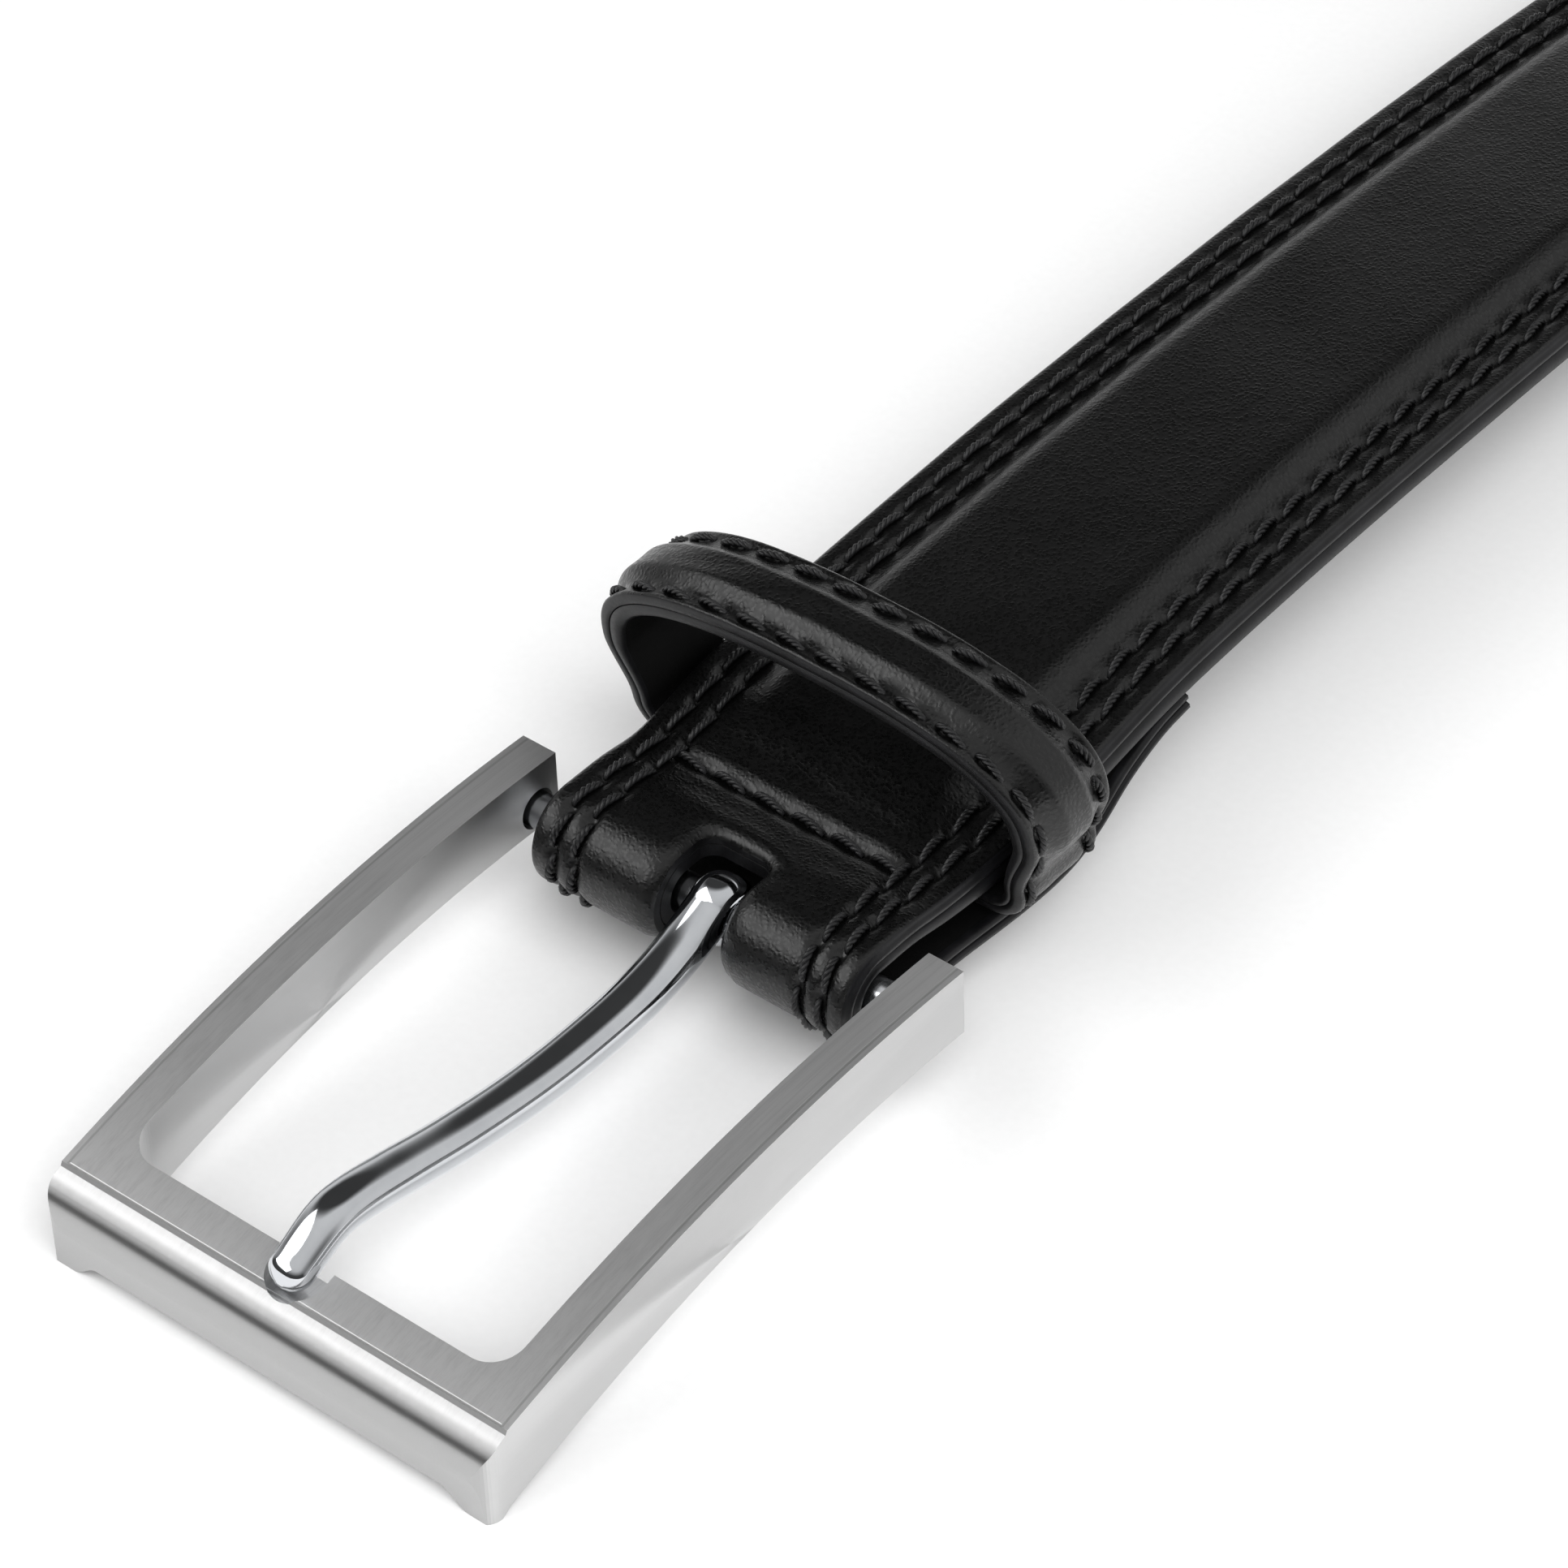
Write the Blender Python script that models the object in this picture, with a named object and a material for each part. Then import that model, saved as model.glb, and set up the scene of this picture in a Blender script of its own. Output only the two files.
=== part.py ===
"""Gentleman's dress belt: prong buckle, padded leather strap and sewn keeper loop.

The belt lies with its buckle flat and its strap arched gently off the ground; the rest of
the strap is rolled up behind it.  X is across the strap, +Y runs along the strap away from
the buckle and +Z is up.  Every length below is in millimetres and the meshes are made in
metres.  The origin is under the middle of the whole belt, on the surface it lies on.
"""

import math

import bmesh
import bpy
import numpy as np

MM = 0.001
GAP = 0.3                       # clearance kept between pieces that touch

# --- strap ------------------------------------------------------------------
STRAP_HALF_WIDTH = 17.5         # a 35 mm dress strap
FOLD_HALF_WIDTH = 16.4          # narrowed where it wraps the heel bar
GRAIN_THICK = 1.2               # outer grain leather
STRAP_THICK = 3.4               # grain leather, bond line and lining at the edge
FOLD_THICK = 2.7                # skived thickness round the heel bar
TURNBACK_THICK = 2.4            # turned-back end under the strap
CROWN_RISE = 1.4                # how far the padding lifts the middle of the strap
EDGE_LINE = 0.68                # where the flat sewn border ends, as a share of the half width
CROWN_LINE = 0.51               # where the raised middle is at its full height
OUTER_ROW = 0.857               # sewn rows, as a share of the half width
INNER_ROW = 0.72
THREAD_WIDE = 0.6
THREAD_HIGH = 0.35
STRAP_TWIST = math.radians(4.5)  # the long run rolls a little to one side

# --- heel bar and fold --------------------------------------------------------
BAR_Y, BAR_Z = 49.6, 9.3
BAR_RADIUS = 1.6
BAR_HALF_LENGTH = 21.2
FOLD_RADIUS = 4.8               # outer radius of the leather round the bar
SLOT_HALF_WIDTH = 3.5           # prong slot in the fold
SLOT_END_Y = 52.8
SLOT_CORNER = 1.6

# Outer face of the strap in side view, (y, z): the turned-back end under the strap ...
TURNBACK_RUN = ((90.0, 9.9), (86.5, 9.5), (82.5, 8.2), (78.5, 6.0), (74.5, 4.65),
                (69.0, 4.5), (62.0, 4.5), (56.0, 4.5), (BAR_Y, BAR_Z - FOLD_RADIUS))
# ... and the long run from the top of the fold down to where the roll begins.
ROLL_START_Y = 270.0
TOP_RUN = ((BAR_Y, BAR_Z + FOLD_RADIUS), (54.0, 13.95), (58.5, 13.4), (63.0, 13.6),
           (68.0, 14.1), (75.7, 14.85), (85.8, 15.8), (95.8, 16.2), (105.8, 16.3),
           (116.0, 16.2), (126.0, 15.95), (146.0, 15.2), (166.0, 14.0), (186.0, 12.4),
           (205.0, 10.3), (225.0, 7.6), (245.0, 5.0), (258.0, 3.9), (ROLL_START_Y, 3.4))

# --- roll of the remaining length ------------------------------------------------
ROLL_RADIUS = 39.4              # grain face at the start of the roll
ROLL_PITCH = 5.4                # one turn to the next
ROLL_TURNS = 4.75
STEPS_PER_TURN = 16
TIP_TAPER = 24.0                # length over which the end rounds to its point
TIP_HALF_WIDTH = 3.0
HOLE_COUNT = 5
HOLE_PITCH = 25.0
FIRST_HOLE_FROM_TIP = 105.0
HOLE_RADIUS = 2.0

# --- keeper loop -----------------------------------------------------------------
KEEPER_HALF_WIDTH = 22.2
KEEPER_MID_Z = 18.4
KEEPER_RISE = 10.3              # from the mid height to the top, outside
KEEPER_DROP = 10.4              # from the mid height to the underside
KEEPER_FLAT = 16.6              # half length of the flat run under the strap
KEEPER_CORNER = 4.0             # radius at which that run turns up
KEEPER_FRONT_Y = 62.9           # front edge, at the height of the strap
KEEPER_STRAP_Z = 12.0
KEEPER_LEAN = -0.15             # the loop leans towards the buckle as it rises
KEEPER_WIDTH = 10.2
KEEPER_OUTER_THICK = 1.0
KEEPER_WALL = 2.0
KEEPER_CROWN = 0.9
KEEPER_ROW = 0.82               # sewn rows, as a share of the half width of the band
ARCH_EXPONENT = 2.5
ARCH_STEPS = 24
ARCH_START = 12                 # outline points before the arch begins

# --- buckle frame -------------------------------------------------------------------
FRAME_HALF_WIDTH = 23.0
WINDOW_HALF_WIDTH = 19.5
WINDOW_CORNER = 3.0
FRAME_REAR_Y = 52.2
TOP_ARC = (39.5, 14.12, 177.0)      # crest y, crest z and radius of the arms' upper face
UNDER_ARC = (41.0, 7.4, 150.0)      # crest y, crest z and radius of the arms' underside
CREASE_Y = -3.4
FRONT_FACE = ((-4.6, 7.9), (-5.5, 7.15), (-6.05, 6.2), (-6.3, 5.2), (-6.3, 4.5),
              (-6.0, 2.6), (-5.85, 0.0))
FOOT_BACK_Y = -4.6
FOOT_INNER = 20.6
RELIEF_HIGH = 1.7
NOTCH_RADIUS = 2.7
NOTCH_CENTRE_Y = -1.15
NOTCH_FLOOR_Z = 8.15
BORE_RADIUS = BAR_RADIUS + GAP
BORE_END = BAR_HALF_LENGTH + GAP

# --- prong ---------------------------------------------------------------------------
PRONG_HALF_WIDTH = 2.15
PRONG_HALF_HEIGHT = 1.7
PRONG_EYE_RADIUS = 3.15
PRONG_LINE = ((-3.35, 9.5), (-2.9, 9.65), (-1.2, 10.4), (2.2, 11.9), (5.0, 12.0), (10.0, 10.9),
              (17.0, 9.2), (25.0, 7.8), (32.0, 7.25), (39.0, 7.4), (44.5, 8.6), (BAR_Y, 10.7))
PRONG_TIP_SHARE = (0.45, 0.85)      # how the rounded tip closes, as shares of the section

PROFILE_STEP = math.pi / 12.0


def roll_centre():
    """Side-view centre (y, z) of the rolled strap, whose outermost turn lies on the ground."""
    return ROLL_START_Y, ROLL_RADIUS + STRAP_THICK


def rear_extent():
    """Furthest y of the roll: its lining a quarter turn after the roll begins."""
    return roll_centre()[0] + ROLL_RADIUS - ROLL_PITCH / 4.0 + STRAP_THICK


FRONT_EXTENT = min(point[0] for point in FRONT_FACE)
ORIGIN_Y = (FRONT_EXTENT + rear_extent()) / 2.0


# --- helpers -----------------------------------------------------------------------------
def clear_scene():
    """Remove every object that the file starts with."""
    for item in list(bpy.data.objects):
        bpy.data.objects.remove(item, do_unlink=True)


def make_material(name, colour, roughness, metallic):
    """A Principled material with one colour (linear RGB)."""
    material = bpy.data.materials.new(name)
    material.use_nodes = True
    shader = material.node_tree.nodes["Principled BSDF"]
    shader.inputs["Base Color"].default_value = (*colour, 1.0)
    shader.inputs["Roughness"].default_value = roughness
    shader.inputs["Metallic"].default_value = metallic
    return material


def add_object(name, points, faces, material, pivot=(0.0, 0.0, 0.0), smooth=False):
    """Make a named object from points in millimetres, with its origin at the pivot."""
    shift = np.array((0.0, ORIGIN_Y, 0.0))
    origin = (np.array(pivot) - shift) * MM if any(pivot) else np.zeros(3)
    coords = (np.asarray(points, dtype=float) - shift) * MM - origin
    mesh = bpy.data.meshes.new(name)
    mesh.from_pydata(coords.tolist(), [], faces)
    mesh.update()
    shell = bmesh.new()
    shell.from_mesh(mesh)
    bmesh.ops.recalc_face_normals(shell, faces=shell.faces)
    shell.to_mesh(mesh)
    shell.free()
    mesh.materials.append(material)
    if smooth:
        mesh.shade_smooth()
        mesh.set_sharp_from_angle(angle=math.radians(35.0))
    item = bpy.data.objects.new(name, mesh)
    item.location = origin
    bpy.context.scene.collection.objects.link(item)
    return item


def tube_faces(count, ring, closed=False):
    """Quads between successive rings of points, with flat end caps unless it is closed."""
    faces = []
    for station in range(count if closed else count - 1):
        first = station * ring
        second = ((station + 1) % count) * ring
        for corner in range(ring):
            after = (corner + 1) % ring
            faces.append((first + corner, first + after, second + after, second + corner))
    if not closed:
        faces.append(tuple(range(ring)))
        faces.append(tuple((count - 1) * ring + corner for corner in reversed(range(ring))))
    return faces


def prism(name, outline, axis, low, high, material=None, pivot=(0.0, 0.0, 0.0)):
    """Extrude a flat outline along x ("x", outline is y,z), y (x,z) or z (x,y)."""
    slots = {"x": (1, 2, 0), "y": (0, 2, 1), "z": (0, 1, 2)}[axis]
    rings = []
    for depth in (low, high):
        ring = np.zeros((len(outline), 3))
        ring[:, slots[0]] = [point[0] for point in outline]
        ring[:, slots[1]] = [point[1] for point in outline]
        ring[:, slots[2]] = depth
        rings.append(ring)
    faces = tube_faces(2, len(outline))
    return add_object(name, np.concatenate(rings), faces, material or CUTTER, pivot)


def arc(centre_y, centre_z, radius, start, end, steps):
    """Points of a circular arc, angles in radians."""
    angles = np.linspace(start, end, steps + 1)
    return [(centre_y + radius * math.cos(a), centre_z + radius * math.sin(a)) for a in angles]


def smooth_run(points, spacing):
    """A smooth line through the given points, with a point about every spacing."""
    knots = np.array(points, dtype=float)
    tangents = np.gradient(knots, axis=0)
    line = []
    for index in range(len(knots) - 1):
        start, end = knots[index], knots[index + 1]
        steps = max(1, int(round(np.linalg.norm(end - start) / spacing)))
        for step in range(steps):
            t = step / steps
            line.append((2 * t**3 - 3 * t**2 + 1) * start + (t**3 - 2 * t**2 + t) * tangents[index]
                        + (3 * t**2 - 2 * t**3) * end + (t**3 - t**2) * tangents[index + 1])
    line.append(knots[-1])
    return np.array(line)


def ease(value, low, high):
    """0 below low, 1 above high and a smooth rise between."""
    t = np.clip((np.asarray(value, dtype=float) - low) / (high - low), 0.0, 1.0)
    return t * t * (3.0 - 2.0 * t)


def cut(target, cutter, name):
    """Cut one object with another, which stays as a hidden guide."""
    cutter.hide_render = True
    cutter.display_type = "WIRE"
    modifier = target.modifiers.new(name, "BOOLEAN")
    modifier.operation = "DIFFERENCE"
    modifier.solver = "EXACT"
    modifier.object = cutter


def join_to(target, other, name):
    """Weld another solid onto the target; the other stays as a hidden guide."""
    other.hide_render = True
    other.display_type = "WIRE"
    modifier = target.modifiers.new(name, "BOOLEAN")
    modifier.operation = "UNION"
    modifier.solver = "EXACT"
    modifier.object = other


# --- the strap's route ----------------------------------------------------------------------
class StrapRoute:
    """Side-view line of the strap's grain face, from the turned-back end to the tip."""

    def __init__(self):
        under = smooth_run(TURNBACK_RUN, 6.0)
        fold = np.array(arc(BAR_Y, BAR_Z, FOLD_RADIUS, -math.pi / 2, -1.5 * math.pi, 12))
        top = smooth_run(TOP_RUN, 5.0)
        centre_y, centre_z = roll_centre()
        turn = np.arange(1, int(ROLL_TURNS * STEPS_PER_TURN) + 1) / STEPS_PER_TURN
        radius = ROLL_RADIUS - ROLL_PITCH * turn
        angle = 2.0 * math.pi * turn
        roll = np.column_stack((centre_y + radius * np.sin(angle),
                                centre_z - radius * np.cos(angle)))
        self.line = np.concatenate((under[:-1], fold[:-1], top, roll))
        self.fold_start = len(under) - 1
        self.top_start = self.fold_start + len(fold) - 1
        count = len(self.line)
        steps = np.linalg.norm(np.diff(self.line, axis=0), axis=1)
        self.distance = np.concatenate(((0.0,), np.cumsum(steps)))
        tangent = np.gradient(self.line, self.distance, axis=0)
        tangent /= np.linalg.norm(tangent, axis=1)[:, None]
        self.normal = np.column_stack((-tangent[:, 1], tangent[:, 0]))
        self.from_tip = self.distance[-1] - self.distance
        index = np.arange(count)
        self.under = index < self.fold_start
        self.over = index >= self.top_start
        along = self.line[:, 0]
        rolled = index >= self.top_start + len(top)
        along = np.where(rolled, ROLL_START_Y, along)
        self.half_width = self.widths(along)
        self.twist = STRAP_TWIST * ease(along, 60.0, 98.0) * (1.0 - ease(along, 185.0, 262.0))
        self.twist = np.where(self.under, -self.twist, self.twist)
        self.thick = self.thicknesses(along)
        self.crown = np.where(self.over, ease(along, 59.0, 67.0), 0.0) * ease(self.from_tip, 8.0, 34.0)

    def widths(self, along):
        """Half width at each station: narrow at the fold, rounded off at the tip."""
        wide = FOLD_HALF_WIDTH + (STRAP_HALF_WIDTH - FOLD_HALF_WIDTH) * ease(along, 57.0, 72.0)
        near = np.clip(1.0 - self.from_tip / TIP_TAPER, 0.0, 1.0)
        rounded = TIP_HALF_WIDTH + (STRAP_HALF_WIDTH - TIP_HALF_WIDTH) * np.sqrt(1.0 - near**2)
        return np.where(self.from_tip < TIP_TAPER, rounded, wide)

    def thicknesses(self, along):
        """Whole thickness at the edge: skived at the fold and at the turned-back end."""
        over = FOLD_THICK + (STRAP_THICK - FOLD_THICK) * ease(along, 54.0, 64.0)
        under = FOLD_THICK + (TURNBACK_THICK - FOLD_THICK) * ease(along, 50.0, 60.0)
        return np.where(self.over, over, np.where(self.under, under, FOLD_THICK))

    def place(self, across, above, rows=slice(None)):
        """Turn offsets across the strap and above its grain face into points in space."""
        line, normal = self.line[rows], self.normal[rows]
        turn = self.twist[rows][:, None]
        x = across * np.cos(turn) - above * np.sin(turn)
        lift = across * np.sin(turn) + above * np.cos(turn)
        y = line[:, 0:1] + lift * normal[:, 0:1]
        z = line[:, 1:2] + lift * normal[:, 1:2]
        return np.stack((x, y, z), axis=2)

    def station(self, from_tip):
        """Place and outward direction (y, z pairs) at a distance from the tip."""
        run = self.distance[-1] - from_tip
        place = [np.interp(run, self.distance, self.line[:, k]) for k in (0, 1)]
        out = [np.interp(run, self.distance, self.normal[:, k]) for k in (0, 1)]
        return place, out


def strip(name, route, shares, heights, material, rows=slice(None)):
    """A closed strip along the strap; shares are of the half width, heights in mm."""
    half = route.half_width[rows][:, None]
    across = half * np.array(shares)[None, :]
    above = np.column_stack(heights) if isinstance(heights[0], np.ndarray) else np.tile(
        np.array(heights, dtype=float), (len(half), 1))
    points = route.place(across, above, rows)
    return add_object(name, points.reshape(-1, 3), tube_faces(len(half), len(shares)), material)


def build_grain(route):
    """Outer grain leather, raised in the middle where the padding lies under it."""
    shares = (-1.0, -EDGE_LINE, -CROWN_LINE, CROWN_LINE, EDGE_LINE, 1.0,
              1.0, EDGE_LINE - 0.02, CROWN_LINE - 0.02, 0.02 - CROWN_LINE, 0.02 - EDGE_LINE, -1.0)
    flat = np.zeros(len(route.line))
    rise = CROWN_RISE * route.crown
    under = flat - GRAIN_THICK
    raised = under + (CROWN_RISE - 0.1) * route.crown
    heights = (flat, flat, rise, rise, flat, flat, under, under, raised, raised, under, under)
    return strip("strap_grain_leather", route, shares, heights, BLACK_CALF)


def build_lining(route):
    """Lining leather on the inside of the strap."""
    shares = (-1.0, 1.0, 1.0, -1.0)
    upper = np.full(len(route.line), -GRAIN_THICK - GAP)
    lower = -route.thick
    return strip("strap_lining", route, shares, (upper, upper, lower, lower), LINING)


def build_filler(route):
    """Padding board between grain leather and lining, which raises the middle."""
    inside = np.nonzero(route.crown > 0.995)[0]
    rows = slice(int(inside[0]) + 1, int(inside[-1]))
    count = rows.stop - rows.start
    upper = np.full(count, CROWN_RISE - 0.1 - GRAIN_THICK - GAP - 0.1)
    lower = np.full(count, -GRAIN_THICK)
    shares = (-0.47, 0.47, 0.58, -0.58)
    return strip("strap_filler", route, shares, (upper, upper, lower, lower), FILLER, rows)


def build_side_thread(route, name, share):
    """One sewn row down the strap, a low ridge just above the grain leather."""
    rows = slice(route.fold_start, len(route.line) - 2)
    half = route.half_width[rows][:, None]
    across = share * half + np.array((-0.5, 0.5, 0.0)) * THREAD_WIDE
    above = np.tile(np.array((GAP, GAP, GAP + THREAD_HIGH)), (len(half), 1))
    points = route.place(across, above, rows)
    return add_object(name, points.reshape(-1, 3), tube_faces(len(half), 3), THREAD)


def build_cross_thread():
    """The sewn row across the strap behind the fold."""
    reach = FOLD_HALF_WIDTH * INNER_ROW - THREAD_WIDE
    z = 13.4 + GAP
    outline = ((58.5 - 0.3, z), (58.5 + 0.3, z), (58.5, z + THREAD_HIGH))
    return prism("thread_cross_row", outline, "x", -reach, reach, THREAD)


def slot_cutter():
    """Upright cutter for the prong slot, with rounded rear corners."""
    side = SLOT_HALF_WIDTH - SLOT_CORNER
    back = SLOT_END_Y - SLOT_CORNER
    outline = [(-SLOT_HALF_WIDTH, 40.0), (SLOT_HALF_WIDTH, 40.0)]
    outline += arc(side, back, SLOT_CORNER, 0.0, math.pi / 2, 4)
    outline += arc(-side, back, SLOT_CORNER, math.pi / 2, math.pi, 4)
    return prism("slot_cutter", outline, "z", 1.0, 18.0)


def hole_cutters(route):
    """Round punches for the adjustment holes, as one guide object."""
    points, faces = [], []
    for index in range(HOLE_COUNT):
        (y, z), (ny, nz) = route.station(FIRST_HOLE_FROM_TIP + index * HOLE_PITCH)
        ring = np.arange(0.0, 2.0 * math.pi - 0.01, 2.0 * PROFILE_STEP)
        x = HOLE_RADIUS * np.cos(ring)
        along = HOLE_RADIUS * np.sin(ring)
        base = len(points)
        for depth in (-STRAP_THICK - 0.3, CROWN_RISE + 0.3):
            centre_y, centre_z = y + depth * ny, z + depth * nz
            points += list(zip(x, centre_y + along * nz, centre_z - along * ny))
        faces += [tuple(base + corner for corner in face) for face in tube_faces(2, len(ring))]
    return add_object("hole_cutters", points, faces, CUTTER)


# --- the keeper loop --------------------------------------------------------------------------
def keeper_outline():
    """Outer outline of the loop: x, z, the outward direction and how arched it is there."""
    low = KEEPER_MID_Z - KEEPER_DROP
    side = KEEPER_FLAT + KEEPER_CORNER
    base = [(share * KEEPER_FLAT, low) for share in (-0.6, -0.2, 0.2, 0.6)]
    corner = arc(KEEPER_FLAT, low + KEEPER_CORNER, KEEPER_CORNER, -math.pi / 2, 0.0, 5)
    share = np.array((1.0 / 3.0, 2.0 / 3.0))
    flare = np.column_stack((side + (KEEPER_HALF_WIDTH - side) * ease(share, 0.0, 1.0),
                             low + KEEPER_CORNER + (KEEPER_DROP - KEEPER_CORNER) * share))
    right = np.array(corner + flare.tolist())
    angles = np.linspace(0.0, math.pi, ARCH_STEPS + 1)
    c, s = np.cos(angles), np.sin(angles)
    power = 2.0 / ARCH_EXPONENT
    arch = np.column_stack((KEEPER_HALF_WIDTH * np.sign(c) * np.abs(c) ** power,
                            KEEPER_MID_Z + KEEPER_RISE * np.abs(s) ** power))
    ring = np.concatenate((base, right, arch, right[::-1] * (-1.0, 1.0)))
    step = np.roll(ring, -1, axis=0) - np.roll(ring, 1, axis=0)
    step /= np.linalg.norm(step, axis=1)[:, None]
    outward = np.column_stack((step[:, 1], -step[:, 0]))
    return ring, outward, ease(ring[:, 1], low + KEEPER_CORNER, KEEPER_MID_Z + 2.0)


def keeper_band(name, corners, material, arch_only=False):
    """A band round the strap; corners are (width share, inset, crown share)."""
    half = KEEPER_WIDTH / 2.0
    ring, outward, arched = keeper_outline()
    rings = []
    for share, inset, raised in corners:
        lift = raised * arched * KEEPER_CROWN - inset
        x, z = (ring + lift[:, None] * outward).T
        y = KEEPER_FRONT_Y + half + share * half + KEEPER_LEAN * (z - KEEPER_STRAP_Z)
        rings.append(np.column_stack((x, y, z)))
    points = np.stack(rings, axis=1)
    if arch_only:
        points = points[ARCH_START: ARCH_START + ARCH_STEPS + 1]
    faces = tube_faces(len(points), len(corners), closed=not arch_only)
    return add_object(name, points.reshape(-1, 3), faces, material, KEEPER_PIVOT)


def build_keeper():
    """Grain leather, filler and lining of the keeper loop and its two sewn rows."""
    outer = KEEPER_OUTER_THICK
    keeper_band("keeper_grain_leather", ((-1.0, 0.0, 0.0), (-0.62, 0.0, 0.0), (-0.35, 0.0, 1.0),
                (0.35, 0.0, 1.0), (0.62, 0.0, 0.0), (1.0, 0.0, 0.0), (1.0, outer, 0.0),
                (0.6, outer, 0.0), (0.33, outer, 0.9), (-0.33, outer, 0.9), (-0.6, outer, 0.0),
                (-1.0, outer, 0.0)), BLACK_CALF)
    keeper_band("keeper_filler", ((-0.26, outer + GAP, 0.9), (0.26, outer + GAP, 0.9),
                (0.4, outer, 0.0), (-0.4, outer, 0.0)), FILLER, arch_only=True)
    inner = outer + GAP
    keeper_band("keeper_lining", ((-1.0, inner, 0.0), (1.0, inner, 0.0), (1.0, KEEPER_WALL, 0.0),
                (-1.0, KEEPER_WALL, 0.0)), LINING)
    wide = THREAD_WIDE / KEEPER_WIDTH
    proud = -GAP - THREAD_HIGH + 0.1
    for name, share in (("keeper_thread_front", -KEEPER_ROW), ("keeper_thread_back", KEEPER_ROW)):
        keeper_band(name, ((share - wide, -GAP, 0.0), (share, proud, 0.0),
                           (share + wide, -GAP, 0.0)), THREAD)


# --- the buckle -------------------------------------------------------------------------------
def arc_height(crest, y):
    """Height of a shallow crowned face at y; crest is (y, z, radius)."""
    crest_y, crest_z, radius = crest
    return crest_z - radius + math.sqrt(radius**2 - (y - crest_y) ** 2)


def frame_side_outline():
    """Side view of the frame: arched arms, rounded front bar and foot."""
    top = np.linspace(FRAME_REAR_Y, CREASE_Y, 15)
    bottom = np.linspace(FOOT_BACK_Y, FRAME_REAR_Y, 15)
    outline = [(y, arc_height(TOP_ARC, y)) for y in top]
    outline += list(FRONT_FACE)
    outline.append((FOOT_BACK_Y, 0.0))
    outline += [(y, arc_height(UNDER_ARC, y)) for y in bottom[1:]]
    return outline


def build_frame():
    """The cast frame: two arched arms, a front bar with two feet and the prong's seat."""
    frame = prism("buckle_frame", frame_side_outline(), "x", -FRAME_HALF_WIDTH, FRAME_HALF_WIDTH,
                  BRUSHED_METAL, BAR_PIVOT)
    side = WINDOW_HALF_WIDTH - WINDOW_CORNER
    window = [(-WINDOW_HALF_WIDTH, 60.0)]
    window += arc(-side, WINDOW_CORNER, WINDOW_CORNER, math.pi, 1.5 * math.pi, 6)
    window += arc(side, WINDOW_CORNER, WINDOW_CORNER, -math.pi / 2, 0.0, 6)
    window.append((WINDOW_HALF_WIDTH, 60.0))
    cut(frame, prism("window_cutter", window, "z", -3.0, 20.0), "window")
    inner = FOOT_INNER
    relief = ((-inner, -3.0), (inner, -3.0), (inner, 0.4), (inner - 1.6, RELIEF_HIGH),
              (1.6 - inner, RELIEF_HIGH), (-inner, 0.4))
    cut(frame, prism("relief_cutter", relief, "y", -9.0, 0.5), "relief")
    notch = arc(0.0, NOTCH_CENTRE_Y, NOTCH_RADIUS, math.pi, 2.0 * math.pi, 12)
    notch += [(NOTCH_RADIUS, 1.0), (-NOTCH_RADIUS, 1.0)]
    cut(frame, prism("notch_cutter", notch, "z", NOTCH_FLOOR_Z, 12.0), "notch")
    ring = arc(BAR_Y, BAR_Z, BORE_RADIUS, 0.0, 2.0 * math.pi, 16)[:-1]
    cut(frame, prism("bore_cutter", ring, "x", -BORE_END, BORE_END), "bores")
    return frame


def build_heel_bar():
    """Round bar across the rear of the frame, which the strap and the prong turn on."""
    ring = arc(BAR_Y, BAR_Z, BAR_RADIUS, 0.0, 2.0 * math.pi, 16)[:-1]
    bar = prism("heel_bar", ring, "x", -BAR_HALF_LENGTH, BAR_HALF_LENGTH, PLATED_METAL, BAR_PIVOT)
    bar.data.shade_smooth()
    bar.data.set_sharp_from_angle(angle=math.radians(35.0))
    return bar


def build_prong():
    """Swept prong with a rounded tip, welded to the eye that turns on the heel bar."""
    line = smooth_run(PRONG_LINE, 3.2)
    tangent = np.gradient(line, axis=0)
    tangent /= np.linalg.norm(tangent, axis=1)[:, None]
    normal = np.column_stack((-tangent[:, 1], tangent[:, 0]))
    angles = np.linspace(0.0, 2.0 * math.pi, 12, endpoint=False)
    share = np.ones(len(line))
    share[: len(PRONG_TIP_SHARE)] = PRONG_TIP_SHARE
    x = share[:, None] * PRONG_HALF_WIDTH * np.cos(angles)[None, :]
    rise = share[:, None] * PRONG_HALF_HEIGHT * np.sin(angles)[None, :]
    y = line[:, 0:1] + rise * normal[:, 0:1]
    z = line[:, 1:2] + rise * normal[:, 1:2]
    points = np.stack((x, y, z), axis=2).reshape(-1, 3)
    prong = add_object("prong", points, tube_faces(len(line), 12), POLISHED_METAL, BAR_PIVOT, True)
    eye = arc(BAR_Y, BAR_Z, PRONG_EYE_RADIUS, 0.0, 2.0 * math.pi, 24)[:-1]
    join_to(prong, prism("eye_guide", eye, "x", -PRONG_HALF_WIDTH, PRONG_HALF_WIDTH), "eye")
    bore = arc(BAR_Y, BAR_Z, BORE_RADIUS, 0.0, 2.0 * math.pi, 16)[:-1]
    cut(prong, prism("eye_bore_cutter", bore, "x", -5.0, 5.0), "bore")
    return prong


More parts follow.
